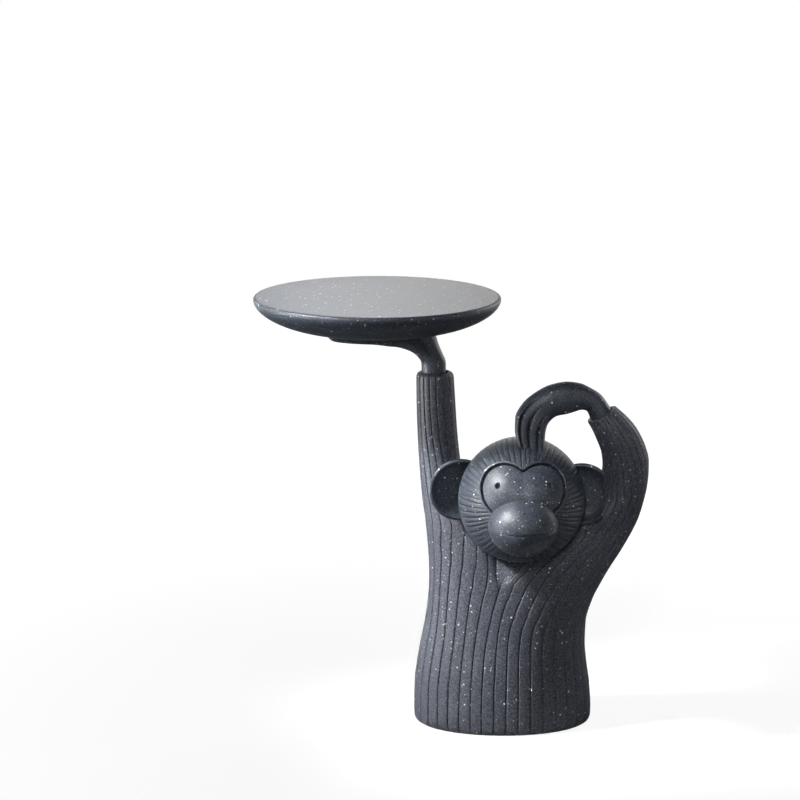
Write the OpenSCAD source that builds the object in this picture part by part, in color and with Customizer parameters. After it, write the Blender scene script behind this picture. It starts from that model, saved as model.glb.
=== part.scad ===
// Monkey tray: a cast stone figure in a ribbed sweater that holds a round tray
// on one raised palm and scratches its head with the other hand.
// Millimetres, +Z up, front faces -Y, origin on the floor at the middle of the base.

/* [Tray] */
// Diameter of the tray
tray_d = 358; // [300:1:420]
// Height of the tray's top above the floor
tray_top_z = 640; // [630:1:665]
// Distance of the tray's middle to the left of the base's middle
tray_reach = 185; // [170:1:200]
// Depth of the tray from its top to its foot
tray_h = 49; // [44:1:60]
// Diameter of the flat foot under the tray
tray_foot_d = 152; // [130:1:180]
// Radius of the rounded edge round the top
tray_lip_r = 4; // [2.5:0.5:8]

/* [Body] */
// Width of the base
base_w = 262; // [240:1:290]
// Depth of the base, front to back
base_depth = 172; // [150:1:200]
// Height of the saddle between the two arms
saddle_z = 300; // [290:1:310]
// Ribs that run up into the raised arm
raised_ribs = 16; // [12:1:20]
// Ribs that run up into the bent arm
bent_ribs = 22; // [18:1:26]
// Width of a groove between two ribs
groove_w = 2.4; // [1.6:0.1:4]
// Depth of a groove
groove_d = 1.4; // [0.8:0.1:2.5]

/* [Arms] */
// Height of the raised arm's cuff
raised_cuff_z = 528; // [515:1:540]
// Width of the raised arm at its cuff
raised_cuff_w = 54.6; // [50:0.2:60]
// Distance of the raised arm's middle line to the left of the base's middle, at the cuff
raised_cuff_x = 101; // [96:0.5:106]
// Reach of the elbow to the right of the base's middle
elbow_x = 209; // [195:1:225]

/* [Head] */
// Diameter of the head
head_d = 182.4; // [172:0.2:192]
// Height of the head's middle
head_z = 355; // [350:1:362]
// Turn of the face towards the raised arm, in degrees
face_turn = 0.5; // [0:0.5:10]
// Gap of the groove round the face mask
mask_gap = 1.5; // [1:0.1:3]
// Thickness of the face mask
mask_t = 8; // [5:0.5:12]
// Width of the muzzle
muzzle_w = 100; // [90:1:108]
// Height of the muzzle
muzzle_h = 89; // [80:1:96]
// Diameter of an ear
ear_d = 91; // [82:1:98]
// Width of the round rim of an ear
ear_rim_w = 6; // [5:0.5:9]

/* [Fixings] */
// Diameter of the steel rod in the raised arm
arm_rod_d = 10; // [8:0.5:12]
// Diameter of the steel dowel in the bent arm's wrist
wrist_dowel_d = 8; // [6:0.5:10]
// Diameter of the steel dowel in the neck
neck_dowel_d = 14; // [10:0.5:18]
// Diameter of an ear's steel pin
ear_pin_d = 4; // [3:0.5:4.5]
// Diameter of the tray's screw
screw_d = 8; // [6:0.5:9]
// Diameter of the pad under the base
pad_d = 150; // [120:1:160]
// Thickness of the pad under the base
pad_t = 3; // [2:0.5:5]

/* [Hidden] */
stone = "#3b4048";
steel = "#b4b7ba";
rubber = "#222222";
$fn = 96;
seam = 0.3;       // clearance between two curved seats
bore_play = 0.2;  // extra diameter of a bore round its pin
overrun = 5;      // how far a cut runs past the face that it opens
arc_steps = 12;   // points on a rounded corner

base_half = base_w / 2;
base_deep = base_depth / 2;
tray_x = -tray_reach;
tray_foot_z = tray_top_z - tray_h;
head_r = head_d / 2;
head_x = 22.8;
head_y = -70;
head_mid = [head_x, head_y, head_z];

// Places on the head, measured from its middle with the face straight ahead
cheek_x = 24;          // middle of a cheek circle, sideways
cheek_z = 31;          // and up
cheek_r = 34.8;
eye_turn = 25.7;         // where the eye pits sit on the ball, in degrees
eye_rise = 24.6;
eye_d = 6.4;
eye_deep = 2.4;
muzzle_proud = 30.8;   // how far the muzzle stands out of the ball
muzzle_deep = 100;
muzzle_out = head_r + muzzle_proud - muzzle_deep / 2;
muzzle_z = -20.5;
mask_tongue_share = 0.82;
mouth_z = -22.2;
mouth_t = 1.6;
mouth_deep = 1.8;
ear_sink = 3.2;
ear_x = head_r - ear_sink;
ear_y = 7.5;
ear_z = 9.5;
ear_z_shift = -3;
ear_turn = 8;
ear_dish = 9.5;
ear_dish_power = 2.4;
ear_back = 14;
ear_inset = 2;         // where the ear meets the ball, inwards of the ear's middle
ear_pin_back = -11.5;
ear_pin_l = 26;
relief_row = 4;       // row of the bent arm whose inner edge the right ear reaches
relief_gap = 1.5;

// Hands
fingers = 4;
finger_steps = 4;
finger_web_share = 0.35;
palm_w = 76;
wrist_w = 33;

// Underside of the tray
tray_foot_h = 1;
belly_power = 1.8;      // 2 would be a quarter of an ellipse

// Fixings
rod_shift = 2;
rod_in_arm = 128;
rod_in_hand = 28;
wrist_dowel_in_arm = 36;
wrist_dowel_in_hand = 18;
neck_x_share = -0.27;
neck_y_share = 0.64;
neck_dowel_l = 80;
insert_d = 14;
insert_l = 14;
screw_grip = 16;
screw_head_d = 14;
screw_head_h = 5;
screw_socket_d = 7;
screw_socket_deep = 3;
tray_pin_d = 6;
tray_pin_x = 42;
tray_pin_l = 20;

// Torso rows up to the branch of the front seam. Shares: height, left edge, right edge,
// front-to-back, middle line, how far the seam lies left of the middle line, and how far the
// ribs bunch towards the left and the right edge
torso_shares = [
    [0.003, 0.940, 0.940, 0.915, 0, 0.252, 0, 0],
    [0.014, 0.978, 0.978, 0.968, 0, 0.252, 0, 0],
    [0.037, 0.997, 0.997, 0.996, 0, 0.252, 0, 0],
    [0.073, 1.000, 1.000, 1.000, 0, 0.252, 0, 0],
    [0.203, 0.994, 0.982, 1.000, 0, 0.252, 0, 0],
    [0.307, 0.966, 0.948, 0.985, 0, 0.248, 0, 0],
    [0.410, 0.926, 0.926, 0.958, 0, 0.240, 0, 0],
    [0.513, 0.880, 0.934, 0.924, -0.015, 0.200, 0.05, 0.04],
    [0.620, 0.846, 1.000, 0.888, -0.038, 0.120, 0.13, 0.20],
    [0.727, 0.832, 1.119, 0.850, -0.066, 0, 0.20, 0.31]
];
// Rows above the branch, where the two arms part. Shares: height, left edge, right edge,
// front-to-back, seam line, how far the arms have parted, the plain strips beside the seam,
// and how far the ribs bunch towards the left and the right edge
branch_shares = [
    [0.790, 0.834, 1.200, 0.818, -0.045, 0.340, 0.038, 0.068, 0.18, 0.32],
    [0.860, 0.842, 1.300, 0.776, -0.010, 0.600, 0.058, 0.112, 0.15, 0.33],
    [0.925, 0.854, 1.385, 0.730, 0.018, 0.820, 0.078, 0.160, 0.17, 0.33],
    [0.970, 0.864, 1.440, 0.700, 0.030, 0.940, 0.095, 0.195, 0.16, 0.34]
];
// Inner half widths of the two arms where they still touch
raised_inner_share = 0.38;
bent_inner_share = 0.61;
saddle_x_share = 0.030;
saddle_lift_share = 0.002;

// Raised arm, shares of the way from the saddle to the cuff: height, then left edge, right
// edge and half depth as shares of the cuff's half width, y, core share, plain strip, bunching
raised_shares = [
    [0.060, 0.530, 2.360, 2.000, 0.02, 0.24, 0.094, 0.04],
    [0.150, 0.650, 1.960, 1.700, 0.05, 0.28, 0.080, -0.02],
    [0.270, 0.750, 1.620, 1.385, 0.08, 0.37, 0.046, 0.05],
    [0.440, 0.860, 1.350, 1.150, 0.10, 0.46, 0.030, 0.05],
    [0.620, 0.940, 1.190, 1.070, 0.10, 0.50, 0.030, 0.10],
    [0.800, 0.985, 1.090, 1.030, 0.10, 0.50, 0.030, 0.16],
    [0.940, 1.000, 1.015, 1.010, 0.10, 0.50, 0.030, 0.16],
    [0.966, 1.000, 1.000, 1.000, 0.10, 0.50, 0.030, 0.16],
    [0.984, 0.955, 0.955, 0.955, 0.10, 0.50, 0.030, 0.16],
    [0.995, 0.875, 0.875, 0.875, 0.10, 0.50, 0.030, 0.16],
    [1.000, 0.780, 0.780, 0.780, 0.10, 0.50, 0.030, 0.16]
];
// Bent arm, outer and inner edges seen from the front, in shares of the elbow's reach, then
// height shares of the saddle's height, half depth share, y share, core share, plain strip
// and bunching
bent_shares = [
    [0.953, 1.057, 0.250, 1.024, 0.262, -0.010, 0.40, 0.150, 0.40],
    [0.978, 1.133, 0.500, 1.083, 0.227, -0.038, 0.46, 0.080, 0.20],
    [0.995, 1.207, 0.622, 1.160, 0.198, -0.070, 0.50, 0.040, 0],
    [1.001, 1.280, 0.667, 1.243, 0.182, -0.105, 0.50, 0.024, -0.14],
    [0.998, 1.347, 0.678, 1.320, 0.172, -0.138, 0.50, 0.022, -0.25],
    [0.976, 1.411, 0.667, 1.386, 0.162, -0.172, 0.50, 0.022, -0.33],
    [0.942, 1.468, 0.650, 1.424, 0.152, -0.196, 0.50, 0.022, -0.33],
    [0.892, 1.528, 0.624, 1.468, 0.141, -0.215, 0.50, 0.022, -0.33],
    [0.826, 1.580, 0.596, 1.511, 0.128, -0.230, 0.50, 0.022, -0.25],
    [0.762, 1.620, 0.566, 1.548, 0.113, -0.238, 0.50, 0.022, -0.18],
    [0.738, 1.616, 0.573, 1.556, 0.098, -0.239, 0.50, 0.022, -0.18]
];

// The bent arm's cuff: middle and direction
bent_last = bent_shares[len(bent_shares) - 1];
bent_cuff = [
    (bent_last[0] + bent_last[2]) / 2 * elbow_x,
    bent_last[5] * elbow_x,
    (bent_last[1] + bent_last[3]) / 2 * saddle_z
];
bent_cuff_tilt = atan2(
    (bent_last[1] - bent_last[3]) * saddle_z, (bent_last[0] - bent_last[2]) * elbow_x);

function along(a, b, share) = a + (b - a) * share;
function held(v, low, high) = max(low, min(high, v));

// A row of one arm: inner edge and outer edge as [x, z], core share from inner to outer,
// y of the middle line, half depth, angle of the seam, plain strip beside the seam, bunching.
// A point on it at angle t from the outer edge, moved inwards by cut.
function arm_point(row, t, cut) =
    let (
        core = along(row[0], row[1], row[2]),
        reach = cos(t) >= 0 ? row[1] - core : core - row[0],
        flat = norm(reach),
        slope = [cos(t) / flat, sin(t) / row[4]],
        out = slope / norm(slope),
        place = core + reach * cos(t) - reach / flat * cut * out[0]
    )
    [place[0], row[3] - row[4] * sin(t) + cut * out[1], place[1]];

// Angle at position s (-1 back seam, 1 front seam), evened out along the outline
function arm_angle(row, s) =
    let (
        wide = norm(row[1] - along(row[0], row[1], row[2])),
        even = (wide - row[4]) / (wide + row[4]) / 2 * 180 / PI
    )
    row[5] * s + even * (sin(2 * row[5] * s) - s * sin(2 * row[5]));

// Position of groove i out of n: even, then bunched towards the outer edge
function groove_s(row, i, n) =
    let (last = 1 - 2 * row[6], even = last * (2 * i / n - 1))
    even - row[7] * last / PI * sin(180 * even / last);
function groove_half(row) =
    let (wide = norm(row[1] - along(row[0], row[1], row[2])))
    groove_w / 2 / (row[5] * PI / 180 * (wide + row[4]) / 2);

function groove_points(row, s) = [
    arm_point(row, arm_angle(row, s - groove_half(row)), 0),
    arm_point(row, arm_angle(row, s), groove_d),
    arm_point(row, arm_angle(row, s + groove_half(row)), 0)
];
function half_groove(row, s, side) = [
    arm_point(row, arm_angle(row, s + side * groove_half(row)), 0)
];

// Below the branch the seam is itself a groove
function low_row(row, n) = concat(
    [arm_point(row, -row[5], groove_d)],
    half_groove(row, -1, 1),
    [for (i = [1:n - 1]) each groove_points(row, groove_s(row, i, n))],
    half_groove(row, 1, -1),
    [arm_point(row, row[5], groove_d)]
);
// Above the branch each arm keeps a groove on its own side of the plain seam
function high_row(row, n) = concat(
    [arm_point(row, -row[5], 0)],
    [for (i = [0:n]) each groove_points(row, groove_s(row, i, n))],
    [arm_point(row, row[5], 0)]
);
function closed_row(row, n) = concat(high_row(row, n), [arm_point(row, 180, 0)]);
function backwards(list) = [for (i = [len(list) - 1:-1:0]) list[i]];
function inner_part(list) = [for (i = [1:len(list) - 2]) list[i]];

// Rows of the torso as seen by the raised arm (left) and by the bent arm (right)
function torso_row(r, side) =
    let (
        z = r[0] * saddle_z,
        left = [-r[1] * base_half, z],
        right = [r[2] * base_half, z],
        core = (r[4] + r[1]) / (r[1] + r[2]),
        lean = asin(r[5])
    )
    side < 0
        ? [right, left, 1 - core, 0, r[3] * base_deep, 90 - lean, 0, r[6]]
        : [left, right, core, 0, r[3] * base_deep, 90 + lean, 0, r[7]];
function branch_row(r, side) =
    let (
        z = r[0] * saddle_z,
        inner = (side < 0 ? raised_inner_share : bent_inner_share) * base_half,
        outer_x = (side < 0 ? -r[1] : r[2]) * base_half,
        core_x = r[4] * base_half + side * r[5] * inner,
        inner_x = core_x - side * inner
    )
    [
        [inner_x, z], [outer_x, z], inner / abs(outer_x - inner_x),
        0, r[3] * base_deep, 90 + asin(r[5]), r[side < 0 ? 6 : 7], r[side < 0 ? 8 : 9]
    ];
function raised_row(r) =
    let (
        z = along(saddle_z, raised_cuff_z, r[0]),
        half = raised_cuff_w / 2
    )
    [
        [-raised_cuff_x + r[2] * half, z], [-raised_cuff_x - r[1] * half, z], r[5],
        r[4] * half, r[3] * half, 180 * raised_ribs / (raised_ribs + 1), r[6], r[7]
    ];
function bent_row(r) = [
    [r[2] * elbow_x, r[3] * saddle_z], [r[0] * elbow_x, r[1] * saddle_z], r[6],
    r[5] * elbow_x, r[4] * elbow_x, 180 * bent_ribs / (bent_ribs + 1), r[7], r[8]
];

// Faces between a lower and an upper chain of points; the upper one may have
// shift more points at each end, which fan out from the end point of the lower one
function strip_faces(low, up, shift) = [
    for (i = [0:len(up) - 2])
        let (
            a = low[held(i - shift, 0, len(low) - 1)],
            b = low[held(i + 1 - shift, 0, len(low) - 1)]
        )
        each (a == b ? [[a, up[i], up[i + 1]]] : [[a, up[i], up[i + 1]], [a, up[i + 1], b]])
];
function looped(list) = concat(list, [list[0]]);
function run(first, count) = [for (i = [0:count - 1]) first + i];
function flatten(lists) = [for (l = lists) each l];
function mean_point(list) = [for (k = [0:2]) [for (p = list) p[k]] * [for (p = list) 1] / len(list)];

// The whole ribbed body as one closed surface: a single outline up to the branch,
// two arms joined at the seam up to the saddle, and then two closed arms.
module ribbed_body() {
    low_left = 3 * raised_ribs + 1;
    low_right = 3 * bent_ribs + 1;
    high_left = 3 * raised_ribs + 5;
    high_right = 3 * bent_ribs + 5;
    lows = [
        for (r = torso_shares)
            concat(
                low_row(torso_row(r, -1), raised_ribs),
                inner_part(backwards(low_row(torso_row(r, 1), bent_ribs))))
    ];
    highs = [
        for (r = branch_shares)
            concat(
                high_row(branch_row(r, -1), raised_ribs),
                inner_part(backwards(high_row(branch_row(r, 1), bent_ribs))))
    ];
    raised = [for (r = raised_shares) closed_row(raised_row(r), raised_ribs)];
    bent = [
        for (r = bent_shares)
            let (c = closed_row(bent_row(r), bent_ribs), n = len(c))
            concat(backwards([for (i = [0:n - 2]) c[i]]), [c[n - 1]])
    ];
    n_low = len(lows[0]);
    n_high = len(highs[0]);
    n_raised = len(raised[0]);
    n_bent = len(bent[0]);
    low_at = [for (i = [0:len(lows) - 1]) i * n_low];
    high_from = len(lows) * n_low;
    high_at = [for (i = [0:len(highs) - 1]) high_from + i * n_high];
    saddle_at = high_from + len(highs) * n_high;
    raised_at = [for (i = [0:len(raised) - 1]) saddle_at + 1 + i * n_raised];
    bent_from = saddle_at + 1 + len(raised) * n_raised;
    bent_at = [for (i = [0:len(bent) - 1]) bent_from + i * n_bent];
    floor_at = bent_from + len(bent) * n_bent;
    saddle_point = [saddle_x_share * base_half, 0, saddle_z * (1 + saddle_lift_share)];
    points = concat(
        flatten(lows), flatten(highs), [saddle_point], flatten(raised), flatten(bent),
        [mean_point(lows[0]), mean_point(raised[len(raised) - 1]), mean_point(bent[len(bent) - 1])]);
    function low_left_chain(i) = run(low_at[i], low_left);
    function low_right_chain(i) =
        concat([low_at[i] + low_left - 1], run(low_at[i] + low_left, low_right - 2), [low_at[i]]);
    function high_left_chain(i) = run(high_at[i], high_left);
    function high_right_chain(i) =
        concat([high_at[i] + high_left - 1], run(high_at[i] + high_left, high_right - 2), [high_at[i]]);
    last_low = len(lows) - 1;
    last_high = len(highs) - 1;
    faces = concat(
        [for (i = [0:last_low - 1]) each strip_faces(
            looped(run(low_at[i], n_low)), looped(run(low_at[i + 1], n_low)), 0)],
        strip_faces(low_left_chain(last_low), high_left_chain(0), 2),
        strip_faces(low_right_chain(last_low), high_right_chain(0), 2),
        [for (i = [0:last_high - 1]) each strip_faces(
            looped(run(high_at[i], n_high)), looped(run(high_at[i + 1], n_high)), 0)],
        strip_faces(
            looped(concat(high_left_chain(last_high), [saddle_at])),
            looped(run(raised_at[0], n_raised)), 0),
        strip_faces(
            looped(concat(high_right_chain(last_high), [saddle_at])),
            looped(run(bent_at[0], n_bent)), 0),
        [for (i = [0:len(raised) - 2]) each strip_faces(
            looped(run(raised_at[i], n_raised)), looped(run(raised_at[i + 1], n_raised)), 0)],
        [for (i = [0:len(bent) - 2]) each strip_faces(
            looped(run(bent_at[i], n_bent)), looped(run(bent_at[i + 1], n_bent)), 0)],
        [for (i = [0:n_low - 1]) [floor_at, i, (i + 1) % n_low]],
        [for (i = [0:n_raised - 1]) let (a = raised_at[len(raised) - 1])
            [floor_at + 1, a + (i + 1) % n_raised, a + i]],
        [for (i = [0:n_bent - 1]) let (a = bent_at[len(bent) - 1])
            [floor_at + 2, a + (i + 1) % n_bent, a + i]]
    );
    polyhedron(points = points, faces = faces, convexity = 10);
}

// Fixings
rod_at = [-raised_cuff_x - rod_shift, raised_row(raised_shares[len(raised_shares) - 1])[3]];
rod_from = raised_cuff_z - rod_in_arm;
rod_l = rod_in_arm + rod_in_hand;
neck_axis = [neck_x_share, neck_y_share, -1] / norm([neck_x_share, neck_y_share, -1]);

// A bar of diameter d from a point at distance back behind the origin to reach before it, along axis
module turn_along(axis) {
    rotate([0, acos(axis[2] / norm(axis)), atan2(axis[1], axis[0])]) children();
}
module bar_along(axis, d, back, reach) {
    turn_along(axis) translate([0, 0, -back]) cylinder(d = d, h = back + reach);
}
module on_head() {
    translate(head_mid) rotate([0, 0, -face_turn]) children();
}
module at_bent_cuff() {
    translate(bent_cuff) rotate([0, -bent_cuff_tilt, 0]) children();
}
module arm_rod_bar(d, above, below) {
    translate([rod_at[0], rod_at[1], rod_from - below]) cylinder(d = d, h = rod_l + above + below);
}
module wrist_dowel_bar(d, above, below) {
    at_bent_cuff() translate([0, 0, -wrist_dowel_in_arm - below])
        cylinder(d = d, h = wrist_dowel_in_arm + wrist_dowel_in_hand + above + below);
}
module neck_dowel_bar(d, more) {
    translate(head_mid) translate(neck_axis * head_r)
        bar_along(neck_axis, d, neck_dowel_l / 2 + more, neck_dowel_l / 2 + more);
}

module torso_casting() {
    color(stone) difference() {
        ribbed_body();
        translate(head_mid) sphere(head_r + seam);
        arm_rod_bar(arm_rod_d + bore_play, overrun, 0);
        wrist_dowel_bar(wrist_dowel_d + bore_play, overrun, 0);
        neck_dowel_bar(neck_dowel_d + bore_play, 0);
        translate([0, 0, -overrun]) cylinder(d = pad_d + bore_play, h = overrun + pad_t);
    }
}

// Face mask: two round cheeks that meet in a cleft, and a tongue under the muzzle
module mask_outline(more) {
    for (side = [-1, 1])
        translate([side * cheek_x, cheek_z]) circle(r = cheek_r + more);
    translate([0, muzzle_z]) scale([muzzle_w, muzzle_h] * mask_tongue_share / 2)
        circle(r = 1);
}
module mask_column(more) {
    rotate([90, 0, 0]) linear_extrude(head_r + overrun) mask_outline(more);
}
module head_casting() {
    color(stone) difference() {
        on_head() rotate([90, 0, 0]) sphere(head_r);
        on_head() difference() {
            mask_column(mask_gap);
            sphere(head_r - mask_t - seam);
        }
        neck_dowel_bar(neck_dowel_d + bore_play, 0);
        for (side = [-1, 1]) ear_pin_bar(side, ear_pin_d + bore_play);
    }
}
module face_mask() {
    color(stone) on_head() difference() {
        intersection() {
            sphere(head_r);
            mask_column(0);
        }
        sphere(head_r - mask_t);
        for (side = [-1, 1])
            rotate([0, 0, side * eye_turn]) rotate([90 - eye_rise, 0, 0])
                translate([0, 0, head_r - eye_deep]) cylinder(d = eye_d, h = overrun);
    }
}

// Muzzle: an oval ball with one level mouth line all the way round
module muzzle_ball(less) {
    translate([0, -muzzle_out, muzzle_z])
        scale([muzzle_w / 2 - less, muzzle_deep / 2 - less, muzzle_h / 2 - less]) sphere(1);
}
module muzzle() {
    color(stone) on_head() difference() {
        muzzle_ball(0);
        sphere(head_r + seam);
        difference() {
            translate([-muzzle_w, -head_d, mouth_z - mouth_t / 2])
                cube([2 * muzzle_w, head_d, mouth_t]);
            muzzle_ball(mouth_deep);
        }
    }
}

// Ears: bowls with a narrow round rim
function ear_profile() =
    let (rim = ear_rim_w / 2, rim_at = ear_d / 2 - rim)
    concat(
        [for (i = [0:arc_steps - 1]) let (r = i / arc_steps)
            [rim_at * r, -rim - ear_back * (1 - r * r)]],
        [for (i = [0:arc_steps]) let (a = -90 + 180 * i / arc_steps)
            [rim_at + rim * cos(a), rim * sin(a)]],
        [for (i = [1:arc_steps]) let (r = 1 - i / arc_steps)
            [rim_at * r, rim - ear_dish * (1 - pow(r, ear_dish_power))]]
    );
module ear_place(side) {
    on_head() translate([side * ear_x, ear_y, ear_z + side * ear_z_shift])
        rotate([0, 0, side * ear_turn]) rotate([90, 0, 0]) children();
}
module ear_pin_bar(side, d) {
    ear_place(side) translate([-side * ear_inset, 0, ear_pin_back]) rotate([0, 90, 0])
        cylinder(d = d, h = ear_pin_l, center = true);
}
module ear(side) {
    difference() {
        ear_place(side) rotate_extrude() polygon(ear_profile());
        translate(head_mid) sphere(head_r + seam);
        ear_pin_bar(side, ear_pin_d + bore_play);
        if (side > 0) ear_relief();
    }
}
// The right ear ends where the bent arm's inner edge begins
module ear_relief() {
    translate([bent_row(bent_shares[relief_row])[0][0] - relief_gap, head_y - head_r, head_z - head_r])
        cube(head_d);
}
module left_ear() {
    color(stone) ear(-1);
}
module right_ear() {
    color(stone) ear(1);
}

// A hand is lofted through sections. Each has an outer and an inner edge point [x, z], the y of
// its middle, its half width in y, and how far it is parted into fingers, from 0 to 1.
// across_y is true where the fingers lie side by side along y.
function finger_lobe(c) =
    let (f = c * fingers / 2 + fingers / 2, x = 2 * (f - floor(f)) - 1)
    abs(c) > 0.999 ? 0 : max(sqrt(1 - x * x), finger_web_share);
function section_half(c, parted) =
    (1 - parted) * sqrt(max(0, 1 - c * c)) + parted * finger_lobe(c);
function section_ring(s, across_y) =
    let (
        mid = (s[0] + s[1]) / 2,
        half = (s[0] - s[1]) / 2,
        steps = fingers * finger_steps,
        c = [for (i = [0:steps]) 1 - 2 * i / steps],
        h = [for (v = c) section_half(v, s[4])],
        uv = concat(
            [for (i = [0:steps]) [c[i], h[i]]],
            [for (i = [steps - 1:-1:1]) [c[i], -h[i]]])
    )
    [for (p = uv)
        let (q = across_y ? [-p[1], p[0]] : p, flat = mid + half * q[0])
        [flat[0], s[2] + s[3] * q[1], flat[1]]];
module loft(sections, across_y) {
    rings = [for (s = sections) section_ring(s, across_y)];
    n = len(rings[0]);
    last = (len(rings) - 1) * n;
    polyhedron(
        points = concat(flatten(rings), [mean_point(rings[0]), mean_point(rings[len(rings) - 1])]),
        faces = concat(
            [for (i = [0:len(rings) - 2])
                each strip_faces(looped(run(i * n, n)), looped(run((i + 1) * n, n)), 0)],
            [for (i = [0:n - 1]) [last + n, i, (i + 1) % n]],
            [for (i = [0:n - 1]) [last + n + 1, last + (i + 1) % n, last + i]]
        ),
        convexity = 6);
}

// Tray hand, x in shares of the way from the cuff's middle to the tray's, z from cuff to tray
tray_hand_shares = [
    [-0.190, 0.000, 0.235, 0.000, 0.46, 0],
    [-0.180, 0.220, 0.240, 0.200, 0.46, 0],
    [-0.125, 0.440, 0.300, 0.350, 0.48, 0],
    [-0.060, 0.650, 0.410, 0.470, 0.55, 0],
    [-0.005, 0.880, 0.560, 0.550, 0.66, 0],
    [0.080, 1.110, 0.690, 0.590, 0.78, 0],
    [0.400, 1.160, 0.800, 0.605, 0.90, 0],
    [0.850, 1.160, 0.960, 0.640, 0.98, 0.1],
    [1.180, 1.150, 1.220, 0.680, 1.00, 0.4],
    [1.480, 1.140, 1.490, 0.735, 0.97, 0.8],
    [1.740, 1.120, 1.740, 0.790, 0.88, 1],
    [1.870, 1.080, 1.865, 0.860, 0.72, 1]
];
function tray_hand_point(x, z) = [
    -along(raised_cuff_x, tray_reach, x), along(raised_cuff_z, tray_foot_z, z)
];
function tray_hand_section(r) = [
    tray_hand_point(r[0], r[1]), tray_hand_point(r[2], r[3]),
    rod_at[1] * (1 - r[5]), r[4] * palm_w / 2, r[5]
];
module screw_hole(d, from, to) {
    translate([tray_x, 0, from]) cylinder(d = d, h = to - from);
}
module tray_pin_bar(d) {
    translate([tray_x - tray_pin_x, 0, tray_foot_z - tray_pin_l / 2]) cylinder(d = d, h = tray_pin_l);
}
module tray_hand() {
    color(stone) difference() {
        loft([for (r = tray_hand_shares) tray_hand_section(r)], true);
        translate([tray_x - tray_d / 2, -tray_d / 2, tray_foot_z])
            cube([tray_d, tray_d, tray_h]);
        arm_rod_bar(arm_rod_d + bore_play, 0, overrun);
        screw_hole(screw_d + bore_play, raised_cuff_z, tray_foot_z + overrun);
        screw_hole(screw_head_d + bore_play, raised_cuff_z, tray_foot_z - screw_grip);
        tray_pin_bar(tray_pin_d + bore_play);
    }
}

// Hand on the head, x in shares of the way from the head's middle to the cuff's,
// z and y in head radii from the head's middle
head_hand_shares = [
    [1.003, 1.637, 0.811, 1.393, 0.210, 0.169, 0],
    [0.874, 1.751, 0.746, 1.409, 0.190, 0.170, 0],
    [0.721, 1.841, 0.659, 1.381, 0.164, 0.176, 0],
    [0.555, 1.870, 0.554, 1.349, 0.133, 0.181, 0],
    [0.363, 1.832, 0.440, 1.327, 0.101, 0.181, 0],
    [0.170, 1.719, 0.361, 1.266, 0.056, 0.170, 0.2],
    [0.005, 1.556, 0.313, 1.191, -0.010, 0.154, 0.7],
    [-0.091, 1.349, 0.290, 1.088, -0.097, 0.131, 1],
    [-0.098, 1.173, 0.280, 1.001, -0.185, 0.111, 1],
    [-0.079, 1.026, 0.272, 0.903, -0.272, 0.092, 1],
    [-0.049, 0.924, 0.255, 0.790, -0.359, 0.077, 1]
];
function head_hand_point(x, z) = [along(head_x, bent_cuff[0], x), head_z + z * head_r];
function head_hand_section(r) = [
    head_hand_point(r[0], r[1]), head_hand_point(r[2], r[3]),
    head_y + r[4] * head_r, r[5] * head_r, r[6]
];
// The hand's first section lies just clear of the cuff's face
function wrist_section() =
    let (
        a = bent_cuff_tilt,
        mid = [bent_cuff[0], bent_cuff[2]] + seam * [-sin(a), cos(a)],
        half = wrist_w / 2 * [cos(a), sin(a)]
    )
    [mid + half, mid - half, bent_cuff[1], wrist_w / 2, 0];
module head_hand() {
    color(stone) difference() {
        loft(concat([wrist_section()], [for (r = head_hand_shares) head_hand_section(r)]), false);
        translate(head_mid) sphere(head_r + seam);
        wrist_dowel_bar(wrist_dowel_d + bore_play, 0, overrun);
    }
}

// Tray: thick and turned, with a flat top, a rounded edge, a bellied underside that is
// a quarter of a superellipse, and a flat foot
function belly_profile() =
    let (
        wide = tray_d / 2 - tray_foot_d / 2,
        high = tray_h - tray_lip_r - tray_foot_h,
        p = 2 / belly_power
    )
    [for (i = [0:2 * arc_steps]) let (a = 90 - 45 * i / arc_steps)
        [tray_foot_d / 2 + wide * pow(cos(a), p), tray_foot_h + high * (1 - pow(sin(a), p))]];
function tray_profile() = concat(
    [[0, 0], [tray_foot_d / 2, 0]],
    belly_profile(),
    [for (i = [1:arc_steps]) let (a = 90 * i / arc_steps)
        [tray_d / 2 - tray_lip_r + tray_lip_r * cos(a), tray_h - tray_lip_r + tray_lip_r * sin(a)]],
    [[0, tray_h]]
);
module tray() {
    color(stone) difference() {
        translate([tray_x, 0, tray_foot_z]) rotate_extrude() polygon(tray_profile());
        screw_hole(insert_d + bore_play, tray_foot_z - overrun, tray_foot_z + insert_l + seam);
        tray_pin_bar(tray_pin_d + bore_play);
    }
}

module arm_rod() {
    color(steel) arm_rod_bar(arm_rod_d, 0, 0);
}
module wrist_dowel() {
    color(steel) wrist_dowel_bar(wrist_dowel_d, 0, 0);
}
module neck_dowel() {
    color(steel) neck_dowel_bar(neck_dowel_d, 0);
}
module ear_pins() {
    color(steel) for (side = [-1, 1]) ear_pin_bar(side, ear_pin_d);
}
module tray_insert() {
    color(steel) difference() {
        screw_hole(insert_d, tray_foot_z, tray_foot_z + insert_l);
        screw_hole(screw_d + bore_play, tray_foot_z - overrun, tray_foot_z + insert_l + overrun);
    }
}
module tray_screw() {
    color(steel) difference() {
        union() {
            screw_hole(screw_head_d, tray_foot_z - screw_grip - screw_head_h, tray_foot_z - screw_grip);
            screw_hole(screw_d, tray_foot_z - screw_grip - screw_head_h, tray_foot_z + insert_l);
        }
        translate([tray_x, 0, tray_foot_z - screw_grip - screw_head_h - overrun])
            cylinder(d = screw_socket_d, h = overrun + screw_socket_deep, $fn = 6);
    }
}
module tray_pin() {
    color(steel) tray_pin_bar(tray_pin_d);
}
module base_pad() {
    color(rubber) cylinder(d = pad_d, h = pad_t);
}

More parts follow.
